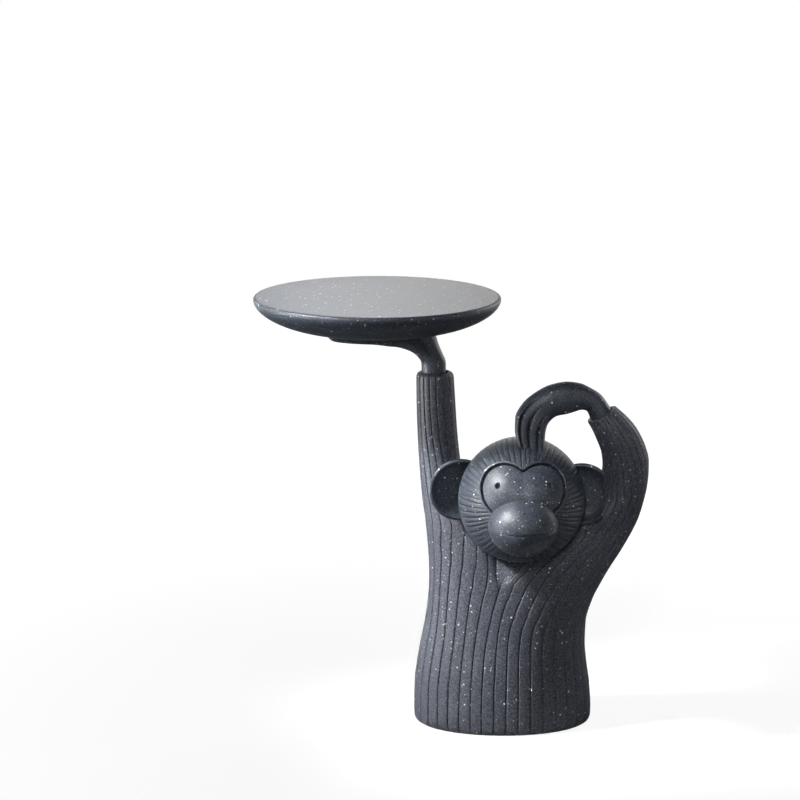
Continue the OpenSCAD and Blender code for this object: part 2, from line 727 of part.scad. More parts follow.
torso_casting();
head_casting();
face_mask();
muzzle();
left_ear();
right_ear();
tray();
tray_hand();
head_hand();
arm_rod();
wrist_dowel();
neck_dowel();
ear_pins();
tray_insert();
tray_screw();
tray_pin();
base_pad();
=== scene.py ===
"""Looks of the monkey tray: a cast stone figure in a ribbed sweater that holds a round tray.

Sizes are in millimetres until a mesh is made, which turns them to metres. The frame is the
CAD's: +Z up, the face looks to -Y, the origin is on the floor at the middle of the base.
"""

import math

import bpy
import numpy as np
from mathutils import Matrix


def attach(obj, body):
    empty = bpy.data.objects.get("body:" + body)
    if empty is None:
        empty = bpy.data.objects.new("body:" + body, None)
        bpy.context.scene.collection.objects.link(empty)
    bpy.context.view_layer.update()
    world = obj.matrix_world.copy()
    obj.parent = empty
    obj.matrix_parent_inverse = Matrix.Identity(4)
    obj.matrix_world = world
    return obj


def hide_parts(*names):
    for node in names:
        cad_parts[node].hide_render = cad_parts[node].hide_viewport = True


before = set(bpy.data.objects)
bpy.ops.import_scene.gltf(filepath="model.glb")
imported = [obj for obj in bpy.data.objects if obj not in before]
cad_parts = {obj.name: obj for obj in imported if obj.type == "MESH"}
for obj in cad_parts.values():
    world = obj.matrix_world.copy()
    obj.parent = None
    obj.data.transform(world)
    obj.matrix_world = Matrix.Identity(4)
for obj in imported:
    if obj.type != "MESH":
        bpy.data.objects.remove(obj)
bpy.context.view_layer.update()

MM = 0.001

# ------------------------ camera
# A pinhole fitted to the tray's ellipse and the base's outline: 4 m away, 12 degrees down.
view_camera = bpy.data.cameras.new("camera")
view_camera.sensor_width = 36.0
view_camera.lens = 126.0
view_camera.clip_end = 50.0
camera = bpy.data.objects.new("camera", view_camera)
camera.location = (-0.152, -3.983, 1.333)
camera.rotation_euler = (math.radians(78.0), 0.0, 0.0)
bpy.context.scene.collection.objects.link(camera)
bpy.context.scene.camera = camera
bpy.context.scene.view_settings.view_transform = "Standard"


# ------------------------ curves and meshes
def curve_through(t, v, at, start=None):
    """Monotone cubic through the rows v at t, read at the places at. The slope at a row is the
    weighted harmonic mean of the two chords that meet there, or 0 where they turn; start gives
    the first row's slopes, with nan where the chord serves."""
    t, v, at = np.asarray(t, float), np.asarray(v, float), np.asarray(at, float)
    wide = v.reshape(len(t), -1)
    h = np.diff(t)[:, None]
    chord = np.diff(wide, axis=0) / h
    slope = np.empty_like(wide)
    slope[0], slope[-1] = chord[0], chord[-1]
    before, after = 2 * h[1:] + h[:-1], h[1:] + 2 * h[:-1]
    going = chord[:-1] * chord[1:] > 0
    safe_a, safe_b = np.where(going, chord[:-1], 1), np.where(going, chord[1:], 1)
    slope[1:-1] = np.where(going, (before + after) / (before / safe_a + after / safe_b), 0)
    if start is not None:
        slope[0] = np.where(np.isnan(start), slope[0], start)
    k = np.clip(np.searchsorted(t, at.ravel(), side="right") - 1, 0, len(t) - 2)
    s = ((at.ravel() - t[k]) / h[k, 0])[:, None]
    a, b, ma, mb = wide[k], wide[k + 1], slope[k] * h[k], slope[k + 1] * h[k]
    out = (
        a * (1 + 2 * s) * (1 - s) ** 2 + ma * s * (1 - s) ** 2
        + b * s * s * (3 - 2 * s) - mb * s * s * (1 - s)
    )
    return out.reshape(at.shape + v.shape[1:])


def ease(x):
    """Smooth step from 0 to 1: 3x^2 - 2x^3 on 0..1."""
    x = np.clip(x, 0, 1)
    return x * x * (3 - 2 * x)


def grid_quads(rows, columns, around=False, first=0):
    """Corner indices of the cells between rows x columns points; around joins the last column
    to the first."""
    i = np.arange(rows - 1)[:, None]
    j = np.arange(columns if around else columns - 1)[None, :]
    k = (j + 1) % columns
    cells = np.stack(np.broadcast_arrays(
        i * columns + j, i * columns + k, (i + 1) * columns + k, (i + 1) * columns + j), -1)
    return cells.reshape(-1, 4) + first


def closed_quads(rows, columns):
    """The cells of a grid that joins round, whose first and last rows are one point each."""
    cells = grid_quads(rows, columns, around=True)
    cells[cells < columns] = 0
    last = (rows - 1) * columns
    cells[cells >= last] = last
    return cells


def without_twins(quads):
    """Splits cells into four-sided ones and three-sided ones: a cell with two equal neighbours
    loses one, and a cell with fewer than three corners goes."""
    same = quads == np.roll(quads, -1, axis=1)
    whole = quads[same.sum(1) == 0]
    thin = quads[same.sum(1) == 1]
    drop = (thin == np.roll(thin, -1, axis=1)).argmax(1) if len(thin) else np.zeros(0, int)
    keep = np.ones(thin.shape, bool)
    keep[np.arange(len(thin)), drop] = False
    return whole, thin[keep].reshape(-1, 3)


def make_piece(name, points, quads, replaces, material):
    """A smooth mesh piece in the row frame that rides on the one body; points are in mm. Loose
    points, left by a weld or a closed end, are dropped."""
    whole, three = without_twins(quads)
    used = np.zeros(len(points), bool)
    used[np.append(whole, three)] = True
    new = np.cumsum(used) - 1
    mesh = bpy.data.meshes.new(name)
    mesh.from_pydata(
        (points[used] * MM).tolist(), [], new[whole].tolist() + new[three].tolist())
    mesh.polygons.foreach_set("use_smooth", np.ones(len(mesh.polygons), bool))
    mesh.update()
    piece = bpy.data.objects.new(name, mesh)
    bpy.context.scene.collection.objects.link(piece)
    mesh.materials.append(material)
    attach(piece, "root")
    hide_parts(*replaces)
    return piece


# ------------------------ materials
def linear(hex_colour):
    """sRGB hex to linear RGBA."""
    c = np.array([int(hex_colour[i:i + 2], 16) for i in (1, 3, 5)]) / 255
    c = np.where(c <= 0.04045, c / 12.92, ((c + 0.055) / 1.055) ** 2.4)
    return (*c.tolist(), 1.0)


def add(tree, kind, inputs=None, **settings):
    """A node of that kind with its own settings; each input is a value or another's output."""
    made = tree.nodes.new(kind)
    for key, value in settings.items():
        setattr(made, key, value)
    for key, value in (inputs or {}).items():
        if isinstance(value, bpy.types.NodeSocket):
            tree.links.new(value, made.inputs[key])
        else:
            made.inputs[key].default_value = value
    return made


def calc(tree, operation, first, second):
    """A maths node's output from two values, each a number or another's output."""
    return add(tree, "ShaderNodeMath", {0: first, 1: second}, operation=operation).outputs[0]


def ramp(tree, value, start, end, low, high, shape="LINEAR"):
    """The value from start to end turned into low to high, and held there beyond."""
    return add(tree, "ShaderNodeMapRange", {
        "Value": value, "From Min": start, "From Max": end, "To Min": low, "To Max": high},
        interpolation_type=shape).outputs["Result"]


def blend(tree, factor, first, second, kind="MIX"):
    """Two colours blended by a factor."""
    return add(tree, "ShaderNodeMix", {"Factor": factor, "A": first, "B": second},
               data_type="RGBA", blend_type=kind).outputs["Result"]


def noise(tree, place, cell, **inputs):
    """Noise whose cells are that many mm wide."""
    return add(tree, "ShaderNodeTexNoise", {
        "Vector": place, "Scale": 1 / (cell * MM), **inputs}).outputs["Fac"]


def bump(tree, height, strength, deep):
    """The normal over a height that goes that many mm deep."""
    return add(tree, "ShaderNodeBump", {
        "Strength": strength, "Distance": deep * MM, "Height": height}).outputs["Normal"]


def new_material(name):
    """An empty material, its node tree and the place on the object that patterns start from."""
    material = bpy.data.materials.new(name)
    material.use_nodes = True
    tree = material.node_tree
    tree.nodes.clear()
    return material, tree, add(tree, "ShaderNodeTexCoord").outputs["Object"]


def surface(tree, inputs):
    """The material's shader, with those inputs, wired to its output."""
    shader = add(tree, "ShaderNodeBsdfPrincipled", inputs)
    add(tree, "ShaderNodeOutputMaterial", {"Surface": shader.outputs["BSDF"]})


CLOUD_CELL, GRAIN_CELL = 60.0, 2.4
STONE_INDEX = 1.54  # quartz and cement under a sealer
# each size of grit: its cells' width and its radius in mm, the share of the cells that hold
# one, and its dullest and palest colour
GRITS = (
    (2.6, 0.7, 0.5, "#4f555f", "#737985"),
    (5.0, 0.95, 0.6, "#656b76", "#a4aab4"),
    (9.5, 1.45, 0.7, "#9ca1aa", "#f6f7fa"),
)
LEAST_GRIT = 0.45  # the smallest grit's share of the radius
LINE_CELL, LINE_STRETCH = 0.8, 0.05
RUBBER_CELL = 0.8


def cast_stone(name, dark, pale, sheen_low, sheen_high):
    """Dark cast stone: cement with black pigment and pale quartz grit, cast in a mould and then
    sealed. The pigment clouds softly over some 60 mm, the cement's grain is about 1 mm, and
    single grits of 1 to 3 mm lie open at the surface and catch the light. The sealer gives a
    broad satin sheen, so the roughness is low for a stone."""
    material, tree, place = new_material(name)
    cloud = noise(tree, place, CLOUD_CELL, Detail=3.0)
    grain = noise(tree, place, GRAIN_CELL, Detail=4.0, Roughness=0.75)
    cement = blend(tree, cloud, linear(dark), linear(pale))
    # the grain makes the cement darker and paler
    toned = blend(tree, 1.0, cement, ramp(tree, grain, 0.38, 0.62, 0.2, 1.9), "MULTIPLY")
    for cell, radius, share, dull, palest in GRITS:
        seeds = add(tree, "ShaderNodeTexVoronoi", {
            "Vector": place, "Scale": 1 / (cell * MM), "Randomness": 1.0})
        pick = add(tree, "ShaderNodeSeparateColor", {"Color": seeds.outputs["Color"]})
        # both as shares of the cell, as the distance is
        size = ramp(tree, pick.outputs["Red"], 1 - share, 1.0,
                    LEAST_GRIT * radius / cell, radius / cell)
        spot = calc(tree, "LESS_THAN", seeds.outputs["Distance"], size)
        there = calc(tree, "GREATER_THAN", pick.outputs["Red"], 1 - share)
        tint = blend(tree, pick.outputs["Green"], linear(dull), linear(palest))
        toned = blend(tree, calc(tree, "MULTIPLY", spot, there), toned, tint)
    surface(tree, {
        "Base Color": toned, "Roughness": ramp(tree, grain, 0.35, 0.65, sheen_low, sheen_high),
        "Normal": bump(tree, grain, 0.5, 0.3), "IOR": STONE_INDEX})
    return material


def drawn_steel():
    """Bright drawn steel bar: fine lines along its length, kept at the default index."""
    material, tree, place = new_material("drawn_steel_bar")
    stretched = add(tree, "ShaderNodeMapping", {
        "Vector": place, "Scale": (1.0, 1.0, LINE_STRETCH)}).outputs["Vector"]
    lines = noise(tree, stretched, LINE_CELL, Detail=2.0)
    surface(tree, {
        "Base Color": linear("#c3c6c8"), "Metallic": 1.0,
        "Roughness": ramp(tree, lines, 0.0, 1.0, 0.28, 0.42)})
    return material


def pad_rubber():
    """Moulded black rubber sheet with a fine matt grain of about 0.8 mm."""
    material, tree, place = new_material("moulded_rubber_sheet")
    grain = noise(tree, place, RUBBER_CELL)
    surface(tree, {
        "Base Color": blend(tree, grain, linear("#161616"), linear("#242424")),
        "Roughness": 0.85, "Normal": bump(tree, grain, 0.3, 0.2)})
    return material


# the smooth castings (head, face, muzzle, ears, hands, tray) take a darker copy of the stone,
# which is painted shade that holds down the key lamp on the head, and a glossier sheen; the
# ribbed sweater takes a paler copy, which is painted light that lifts the body, and a duller sheen
SHADED_SMOOTH_STONE = cast_stone("cast_stone_smooth_painted_shade", "#2f353e", "#3b414b", 0.38, 0.52)
LIGHTENED_RIBBED_STONE = cast_stone("cast_stone_ribbed_painted_light", "#3c3f48", "#4a4d57", 0.45, 0.60)
STEEL = drawn_steel()
RUBBER = pad_rubber()

# ------------------------ ribbed body
BASE_HALF, BASE_DEEP, SADDLE_Z = 131.0, 86.0, 300.0
RAISED_RIBS, BENT_RIBS = 16, 22
GROOVE_HALF, GROOVE_DEEP, RIB_CROWN = 1.15, 1.7, 0.3
GROOVE_MOST = 0.3  # a groove's half width is at most this share of the rib beside it
CUFF_Z, CUFF_HALF, CUFF_X, ELBOW_X = 528.0, 27.3, 101.0, 209.0
SEAM_RISE = 0.727  # share of the saddle's height where the front seam parts
# columns of the grid over a groove's width, over a rib between two grooves, and over the plain
# strip at a seam
GROOVE_COLUMNS = np.array([-1, -0.62, -0.3, 0, 0.3, 0.62, 1])
RIB_COLUMNS = np.array([0.08, 0.3, 0.5, 0.7, 0.92])
STRIP_COLUMNS = 6
# rows of the grid: the lowest by their height in mm, then up to the seam's fork, from there to
# the saddle and along an arm; the strip is relaxed up to so many rows above the saddle
FLOOR_ROWS = np.array([0.9, 1.6, 2.8, 4.4, 6.5, 9.0, 12.0, 15.5, 19.5, 24.0])
TORSO_START = 0.1  # share of the saddle's height where the even rows start
TORSO_ROWS, BRANCH_ROWS, ARM_ROWS, SOFT_ROWS = 46, 29, 75, 26
RELAX_STEPS = 500
FLOOR_FADE = 0.7  # how much of the grooves is left at the lowest row
TINY = 1e-6  # keeps a division off zero

# height in SADDLE_Z, left and right edge in BASE_HALF, front to back in BASE_DEEP, middle line
# in BASE_HALF, sine of the seam's turn to the left, and how far the ribs bunch towards the left
# and the right edge
TORSO = np.array([
    [0.003, 0.940, 0.940, 0.915, 0, 0.252, 0, 0],
    [0.014, 0.978, 0.978, 0.968, 0, 0.252, 0, 0],
    [0.037, 0.997, 0.997, 0.996, 0, 0.252, 0, 0],
    [0.073, 1.000, 1.000, 1.000, 0, 0.252, 0, 0],
    [0.203, 0.994, 0.982, 1.000, 0, 0.252, 0, 0],
    [0.307, 0.966, 0.948, 0.985, 0, 0.248, 0, 0],
    [0.410, 0.926, 0.926, 0.958, 0, 0.240, 0, 0],
    [0.513, 0.880, 0.934, 0.924, -0.015, 0.200, 0.05, 0.04],
    [0.620, 0.846, 1.000, 0.888, -0.038, 0.120, 0.13, 0.20],
    [0.727, 0.832, 1.119, 0.850, -0.066, 0, 0.20, 0.31],
])
# the same height, edges and front to back, seam line in BASE_HALF, how far the arms have parted,
# then the plain strip beside the seam and the bunching, each for the raised and the bent arm
BRANCH = np.array([
    [0.790, 0.834, 1.200, 0.818, -0.045, 0.340, 0.038, 0.068, 0.18, 0.32],
    [0.860, 0.842, 1.300, 0.776, -0.010, 0.600, 0.058, 0.112, 0.15, 0.33],
    [0.925, 0.854, 1.385, 0.730, 0.018, 0.820, 0.078, 0.160, 0.17, 0.33],
    [0.970, 0.864, 1.440, 0.700, 0.030, 0.940, 0.095, 0.195, 0.16, 0.34],
    [1.002, 0.872, 1.475, 0.680, 0.030, 1.000, 0.105, 0.205, 0.16, 0.36],
])
INNER = {-1: 0.38, 1: 0.61}  # an arm's inner reach at the saddle, by its side, over BASE_HALF
# share of the way up from saddle to cuff, then left edge, right edge, half depth and y in
# CUFF_HALF, core share, plain strip, bunching
RAISED = np.array([
    [0.060, 0.530, 2.360, 2.000, 0.02, 0.24, 0.094, 0.04],
    [0.150, 0.650, 1.960, 1.700, 0.05, 0.28, 0.080, -0.02],
    [0.270, 0.750, 1.620, 1.385, 0.08, 0.37, 0.046, 0.05],
    [0.440, 0.860, 1.350, 1.150, 0.10, 0.46, 0.030, 0.05],
    [0.620, 0.940, 1.190, 1.070, 0.10, 0.50, 0.030, 0.10],
    [0.800, 0.985, 1.090, 1.030, 0.10, 0.50, 0.030, 0.16],
    [0.940, 1.000, 1.015, 1.010, 0.10, 0.50, 0.030, 0.16],
    [0.966, 1.000, 1.000, 1.000, 0.10, 0.50, 0.030, 0.16],
])
# outer edge x and z, inner edge x and z, half depth, y, core share, plain strip, bunching;
# heights in SADDLE_Z and the other sizes in ELBOW_X
BENT = np.array([
    [0.953, 1.057, 0.250, 1.024, 0.262, -0.010, 0.40, 0.150, 0.40],
    [0.978, 1.133, 0.500, 1.083, 0.227, -0.038, 0.46, 0.080, 0.20],
    [0.995, 1.207, 0.622, 1.160, 0.198, -0.070, 0.50, 0.040, 0],
    [1.001, 1.280, 0.667, 1.243, 0.182, -0.105, 0.50, 0.024, -0.14],
    [0.998, 1.347, 0.678, 1.320, 0.172, -0.138, 0.50, 0.022, -0.25],
    [0.976, 1.411, 0.667, 1.386, 0.162, -0.172, 0.50, 0.022, -0.33],
    [0.942, 1.468, 0.650, 1.424, 0.152, -0.196, 0.50, 0.022, -0.33],
    [0.892, 1.528, 0.624, 1.468, 0.141, -0.215, 0.50, 0.022, -0.33],
    [0.826, 1.580, 0.596, 1.511, 0.128, -0.230, 0.50, 0.022, -0.25],
    [0.762, 1.620, 0.566, 1.548, 0.113, -0.238, 0.50, 0.022, -0.18],
])
# A cuff's end beyond its last row: drawn in by, moved on by (both mm), and how much of the
# grooves is left. The raised cuff ends in a thick round rim, the bent one in a flat face; both
# go down beside the wrist in a narrow slit.
ROUND = np.radians(np.linspace(0, 90, 11))[1:]
RAISED_RIM = np.vstack([
    np.stack([6.0 * (1 - np.cos(ROUND)), 7.7 * np.sin(ROUND), 1 - 0.8 * ROUND / ROUND[-1]], 1),
    [[6.7, 7.5, 0.1], [7.4, 6.7, 0], [7.9, 5.2, 0], [8.1, 3.0, 0], [8.2, 0.5, 0], [26.4, 0.5, 0]]])
BENT_RIM = np.vstack([
    np.stack([1.6 * (1 - np.cos(ROUND)), 1.9 * np.sin(ROUND), 1 + 0 * ROUND], 1),
    [[2.6, 1.9, 0.5], [3.8, 1.9, 0], [5.2, 1.9, 0], [5.7, 1.6, 0], [6.0, 0.8, 0],
     [6.2, -0.6, 0], [6.3, -2.5, 0], [22.4, -2.5, 0]]])

# An arm's row: x and z of its inner and outer edge, the core as a share of the way between
# them, y, half depth, the seam's angle from the outer edge in degrees, plain strip, bunching
INNER_EDGE, OUTER_EDGE = slice(0, 2), slice(2, 4)
OUTER_Z, CORE, ROW_Y, ROW_DEEP, SEAM_TURN, PLAIN, BUNCH = range(3, 10)


def low_rows(side, z, branched):
    """Rows below the saddle for one arm's half. Under the branch the two halves share one oval;
    above it each arm has its own, and the seam is where the two ovals cross."""
    k = 0 if side < 0 else 1
    t = np.append(TORSO[:, 0], BRANCH[:, 0])
    table = np.vstack([TORSO[:, [1 + k, 3, 6 + k]], BRANCH[:, [1 + k, 3, 8 + k]]])
    edge, deep, bunch = curve_through(t, table, z).T
    outer = side * edge * BASE_HALF
    if branched:
        seam, parted, plain = curve_through(
            np.append(SEAM_RISE, BRANCH[:, 0]),
            np.vstack([[TORSO[-1, 4], 0, 0], BRANCH[:, [4, 5, 6 + k]]]), z).T
        inner = INNER[side] * BASE_HALF
        core = seam * BASE_HALF + side * parted * inner
        far = core - side * inner
        turn = 90 + np.degrees(np.arcsin(np.clip(parted, 0, 1)))
    else:
        # the other half's edge closes the oval
        across = curve_through(TORSO[:, 0], TORSO, z)
        core = across[:, 4] * BASE_HALF
        far = -side * across[:, 2 - k] * BASE_HALF
        turn = 90 + side * np.degrees(np.arcsin(across[:, 5]))
        plain = np.zeros(len(z))
    high = z * SADDLE_Z
    return np.stack([
        far, high, outer, high, (core - far) / (outer - far), 0 * z, deep * BASE_DEEP, turn,
        plain, bunch], 1)


def arm_rows(side, steps):
    """Rows from the saddle up to the cuff, read on a cubic through the table's rows. The first
    is the saddle's own: there the inner edge sets off level, and all else runs on as it comes
    from below."""
    top = BRANCH[-1, 0]
    saddle, before = low_rows(side, np.array([top, 2 - top]), True)
    if side < 0:
        ribs, (t, left, right, deep, y, core, plain, bunch) = RAISED_RIBS, RAISED.T
        high = SADDLE_Z + t * (CUFF_Z - SADDLE_Z)
        rows = [
            -CUFF_X + right * CUFF_HALF, high, -CUFF_X - left * CUFF_HALF, high,
            core, y * CUFF_HALF, deep * CUFF_HALF]
    else:
        ribs, (x, z, inner_x, inner_z, deep, y, core, plain, bunch) = BENT_RIBS, BENT.T
        rows = [
            inner_x * ELBOW_X, inner_z * SADDLE_Z, x * ELBOW_X, z * SADDLE_Z,
            core, y * ELBOW_X, deep * ELBOW_X]
    # the strip opposite the outer edge is one rib wide, and plain beside it
    plain = 0.5 - (0.5 - plain) * ribs / (ribs + 1)
    rows = np.stack([*rows, 180.0 + 0 * plain, plain, bunch], 1)
    slope = (saddle - before) / (saddle - before)[OUTER_Z]
    start = slope * (rows[0, OUTER_Z] - saddle[OUTER_Z])
    start[INNER_EDGE] = np.nan, 0
    start[SEAM_TURN] = 0
    table = np.vstack([saddle, rows])
    return curve_through(
        np.arange(len(table)), table, np.linspace(0, len(table) - 1, steps), start)


def rim_rows(last, profile):
    """The cuff's end: the last row, drawn in towards its middle and moved on along the arm."""
    inner, outer = last[INNER_EDGE], last[OUTER_EDGE]
    middle, half = (inner + outer) / 2, np.linalg.norm(outer - inner) / 2
    along = (outer - inner) / (2 * half)
    # away from the arm, square to the row
    out = np.array([-along[1], along[0]]) * (1 if along[0] > 0 else -1)
    rows = np.repeat(last[None], len(profile), 0)
    keep = 1 - profile[:, 0] / half
    for edge, corner in ((INNER_EDGE, inner), (OUTER_EDGE, outer)):
        rows[:, edge] = middle + (corner - middle) * keep[:, None] + out * profile[:, 1:2]
    rows[:, ROW_DEEP] = last[ROW_DEEP] * keep
    return rows


def core_of(rows):
    """Outer and inner edge and, between them, the core of each row, as x and z."""
    inner, outer = rows[:, INNER_EDGE], rows[:, OUTER_EDGE]
    return outer, inner, inner + (outer - inner) * rows[:, [CORE]]


def columns_of(rows, ribs, fade):
    """Places s (-1 back seam, 1 front seam) of every column and the depth cut there, a cosine
    over each groove's width. The ribs + 1 grooves are evenly spaced and then bunched by a sine.
    A rib is crowned by a parabola. A groove that the seam cuts off is held at the seam."""
    outer, _, core = core_of(rows)
    wide = np.hypot(*(outer - core).T)
    # the way from the outer edge to the seam, on a circle of the mean of both half axes
    length = np.radians(rows[:, SEAM_TURN]) * (wide + rows[:, ROW_DEEP]) / 2
    half = (GROOVE_HALF / length)[:, None]
    last = 1 - 2 * rows[:, [PLAIN]]
    even = last * (2 * np.arange(ribs + 1)[None] / ribs - 1)
    groove = even - rows[:, [BUNCH]] * last / np.pi * np.sin(np.pi * even / last)
    pitch = np.diff(groove, axis=1)
    near = np.minimum(np.hstack([pitch[:, :1], pitch]), np.hstack([pitch, pitch[:, -1:]]))
    half = np.minimum(half, GROOVE_MOST * near)
    valley = groove[:, :, None] + GROOVE_COLUMNS * half[:, :, None]
    free = pitch - half[:, :-1] - half[:, 1:]
    rib = (groove + half)[:, :-1, None] + RIB_COLUMNS * free[:, :, None]
    body = np.concatenate(
        [np.concatenate([valley[:, :-1], rib], 2).reshape(len(rows), -1), valley[:, -1]], 1)
    strip = np.linspace(0, 1, STRIP_COLUMNS + 1)[None, :-1]
    low = -1 + strip * np.maximum(body[:, :1] + 1, 0)
    high = 1 - strip[:, ::-1] * np.maximum(1 - body[:, -1:], 0)
    s = np.clip(np.concatenate([low, body, high], 1), -1, 1)
    near = (np.abs(s[:, :, None] - groove[:, None, :]) / half[:, None, :]).min(2)
    cut = GROOVE_DEEP * (0.5 + 0.5 * np.cos(np.pi * np.clip(near, 0, 1)))
    crown = np.append(0 * GROOVE_COLUMNS, 1 - (2 * RIB_COLUMNS - 1) ** 2)
    cut[:, STRIP_COLUMNS:-STRIP_COLUMNS] -= RIB_CROWN * np.tile(
        crown, ribs + 1)[:-len(RIB_COLUMNS)]
    return s, cut * fade[:, None]


def arm_surface(rows, ribs, fade):
    """Points of an arm's grid. A row is an oval about its core: x and z run from the core to
    the outer edge with cos t and to the inner edge with the other reach, y with sin t, and t
    is evened out along the outline. The cut goes in along the oval's own normal."""
    s, cut = columns_of(rows, ribs, fade)
    outer, inner, core = (edge[:, None] for edge in core_of(rows))
    y, deep, turn = rows[:, [ROW_Y]], rows[:, [ROW_DEEP]], rows[:, [SEAM_TURN]]
    wide = np.linalg.norm(outer - core, axis=2)
    even = np.degrees((wide - deep) / (wide + deep) / 2)
    t = np.radians(
        turn * s + even * (np.sin(np.radians(2 * turn * s)) - s * np.sin(np.radians(2 * turn))))
    reach = np.where(np.cos(t)[:, :, None] >= 0, outer - core, core - inner)
    flat = np.maximum(np.linalg.norm(reach, axis=2), TINY)
    slope = np.stack([np.cos(t) / flat, np.sin(t) / np.maximum(deep, TINY)], 2)
    slope /= np.linalg.norm(slope, axis=2, keepdims=True)
    place = core + reach * np.cos(t)[:, :, None] - reach / flat[:, :, None] * (
        cut * slope[:, :, 0])[:, :, None]
    return np.stack([
        place[:, :, 0], y - deep * np.sin(t) + cut * slope[:, :, 1], place[:, :, 1]], 2)


def ribbed_body():
    """Both halves as grids from the floor to the cuff, joined along the front and back seams up
    to the saddle, each closed round its own arm above it. The strip at each seam, where its
    groove forks, is then relaxed like a stretched skin, so that the valley is soft."""
    torso_z = np.append(FLOOR_ROWS / SADDLE_Z, np.linspace(TORSO_START, SEAM_RISE, TORSO_ROWS))
    # the rows above the fork are even in the angle at which the arms part
    parted = np.sin(np.radians(np.linspace(0, 90, BRANCH_ROWS + 1))[1:])
    branch_z = curve_through(
        np.append(0.0, BRANCH[:, 5]), np.append(SEAM_RISE, BRANCH[:, 0]), parted)
    torso_count, low_count = len(torso_z), len(torso_z) + len(branch_z)
    grids = []
    for side, ribs, profile in ((-1, RAISED_RIBS, RAISED_RIM), (1, BENT_RIBS, BENT_RIM)):
        arm = arm_rows(side, ARM_ROWS + 1)[1:]
        rows = np.vstack([
            low_rows(side, torso_z, False), low_rows(side, branch_z, True), arm,
            rim_rows(arm[-1], profile)])
        fade = np.ones(len(rows))
        fade[-len(profile):] = profile[:, 2]
        fade[0] = FLOOR_FADE
        grids.append(arm_surface(rows, ribs, fade))
    # the seams are common to both halves up to the saddle, and each arm closes on itself above
    left, right = grids
    for k in (0, -1):
        shared = (left[:low_count, k] + right[:low_count, k]) / 2
        left[:low_count, k], right[:low_count, k] = shared, shared
    top = (left[low_count - 1, 0] + left[low_count - 1, -1]) / 2
    for g in grids:
        g[low_count - 1, 0] = g[low_count - 1, -1] = top
        g[low_count:, -1] = g[low_count:, 0]
        # under the fork the strip's columns all lie on the seam
        g[:torso_count, :STRIP_COLUMNS] = g[:torso_count, :1]
        g[:torso_count, -STRIP_COLUMNS:] = g[:torso_count, -1:]
    points, quads, skin = [], [], []
    first = 0
    for g, raised in ((left, True), (right, False)):
        n_rows, n_columns = g.shape[:2]
        on_strip = np.zeros((n_rows, n_columns), bool)
        relaxed = slice(torso_count, low_count + SOFT_ROWS)
        on_strip[relaxed, :STRIP_COLUMNS] = True
        on_strip[relaxed, -STRIP_COLUMNS:] = True
        # the floor and the closed cuff: a fan to the middle of the first and of the last row
        hub = first + g[..., 0].size
        low_ring = first + np.arange(n_columns)
        high_ring = low_ring + (n_rows - 1) * n_columns
        faces = [grid_quads(n_rows, n_columns, first=first)]
        for ring, middle in ((low_ring[::-1], hub), (high_ring, hub + 1)):
            faces.append(np.stack(
                [ring[:-1], ring[1:], 0 * ring[1:] + middle, 0 * ring[1:] + middle], 1))
        # the raised arm's columns run the other way round
        quads += [cells[:, ::-1] if raised else cells for cells in faces]
        points += [g.reshape(-1, 3), [[0.0, 0.0, FLOOR_ROWS[0]], g[-1].mean(0)]]
        skin += [on_strip.ravel(), [False, False]]
        first = hub + 2
    points, quads, skin = np.vstack(points), np.vstack(quads), np.concatenate(skin)
    # weld: equal points become one
    _, at, back = np.unique(points, axis=0, return_index=True, return_inverse=True)
    back = back.ravel()
    soft = np.zeros(len(at), bool)
    np.logical_or.at(soft, back, skin)
    points, quads = points[at], back[quads]
    # relax: each point of the strip goes to the mean of its neighbours, again and again
    pairs = np.vstack([quads[:, [0, 1]], quads[:, [1, 2]], quads[:, [2, 3]], quads[:, [3, 0]]])
    pairs = np.unique(np.sort(pairs[pairs[:, 0] != pairs[:, 1]], 1), axis=0)
    pairs = np.vstack([pairs, pairs[:, ::-1]])
    pairs = pairs[soft[pairs[:, 0]]]
    count = np.maximum(np.bincount(pairs[:, 0], minlength=len(points)), 1)
    for _ in range(RELAX_STEPS):
        for k in range(3):
            mean = np.bincount(pairs[:, 0], points[pairs[:, 1], k], len(points)) / count
            points[soft, k] = mean[soft]
    return make_piece("ribbed_torso", points, quads, ["torso_casting"], LIGHTENED_RIBBED_STONE)


# ------------------------ head
HEAD_R = 91.2
HEAD_MIDDLE = np.array([22.8, -70.0, 355.0])
FACE_TURN = math.radians(-0.5)
CHEEK_X, CHEEK_Z, CHEEK_R = 24.0, 31.0, 34.8
MASK_GAP, MASK_DEEP = 2.1, 8.0
MUZZLE_HALF = np.array([50.0, 50.0, 44.5])
MUZZLE_Y, MUZZLE_Z, MOUTH_Z = -72.0, -20.5, -22.2
EYE_TURN, EYE_RISE, EYE_R, EYE_DEEP = math.radians(25.7), math.radians(24.6), 4.0, 6.5
FACE_Z = 8.0  # the height on the face from which its whole outline can be seen
CHEEK_BLEND, TONGUE_SHARE = 5.0, 0.82  # the tongue under the muzzle, as a share of the muzzle
MASK_SUNK, MASK_DOME, MASK_EDGE = 2.0, 4.4, 1.5
# the head's grooves: their number, depth and half width, and the places across one at which
# the grid has a column: over 1 they go on to the next groove
HEAD_GROOVES, HEAD_GROOVE_DEEP, HEAD_GROOVE_HALF = 64, 1.5, 0.85
HEAD_COLUMNS = np.array([-1, -0.5, 0, 0.5, 1, 2, 3])
# they lose this share of their depth, from so far outside the mask over so long a way
FADE_SHARE, FADE_START, FADE_LENGTH = 0.6, 35, 45
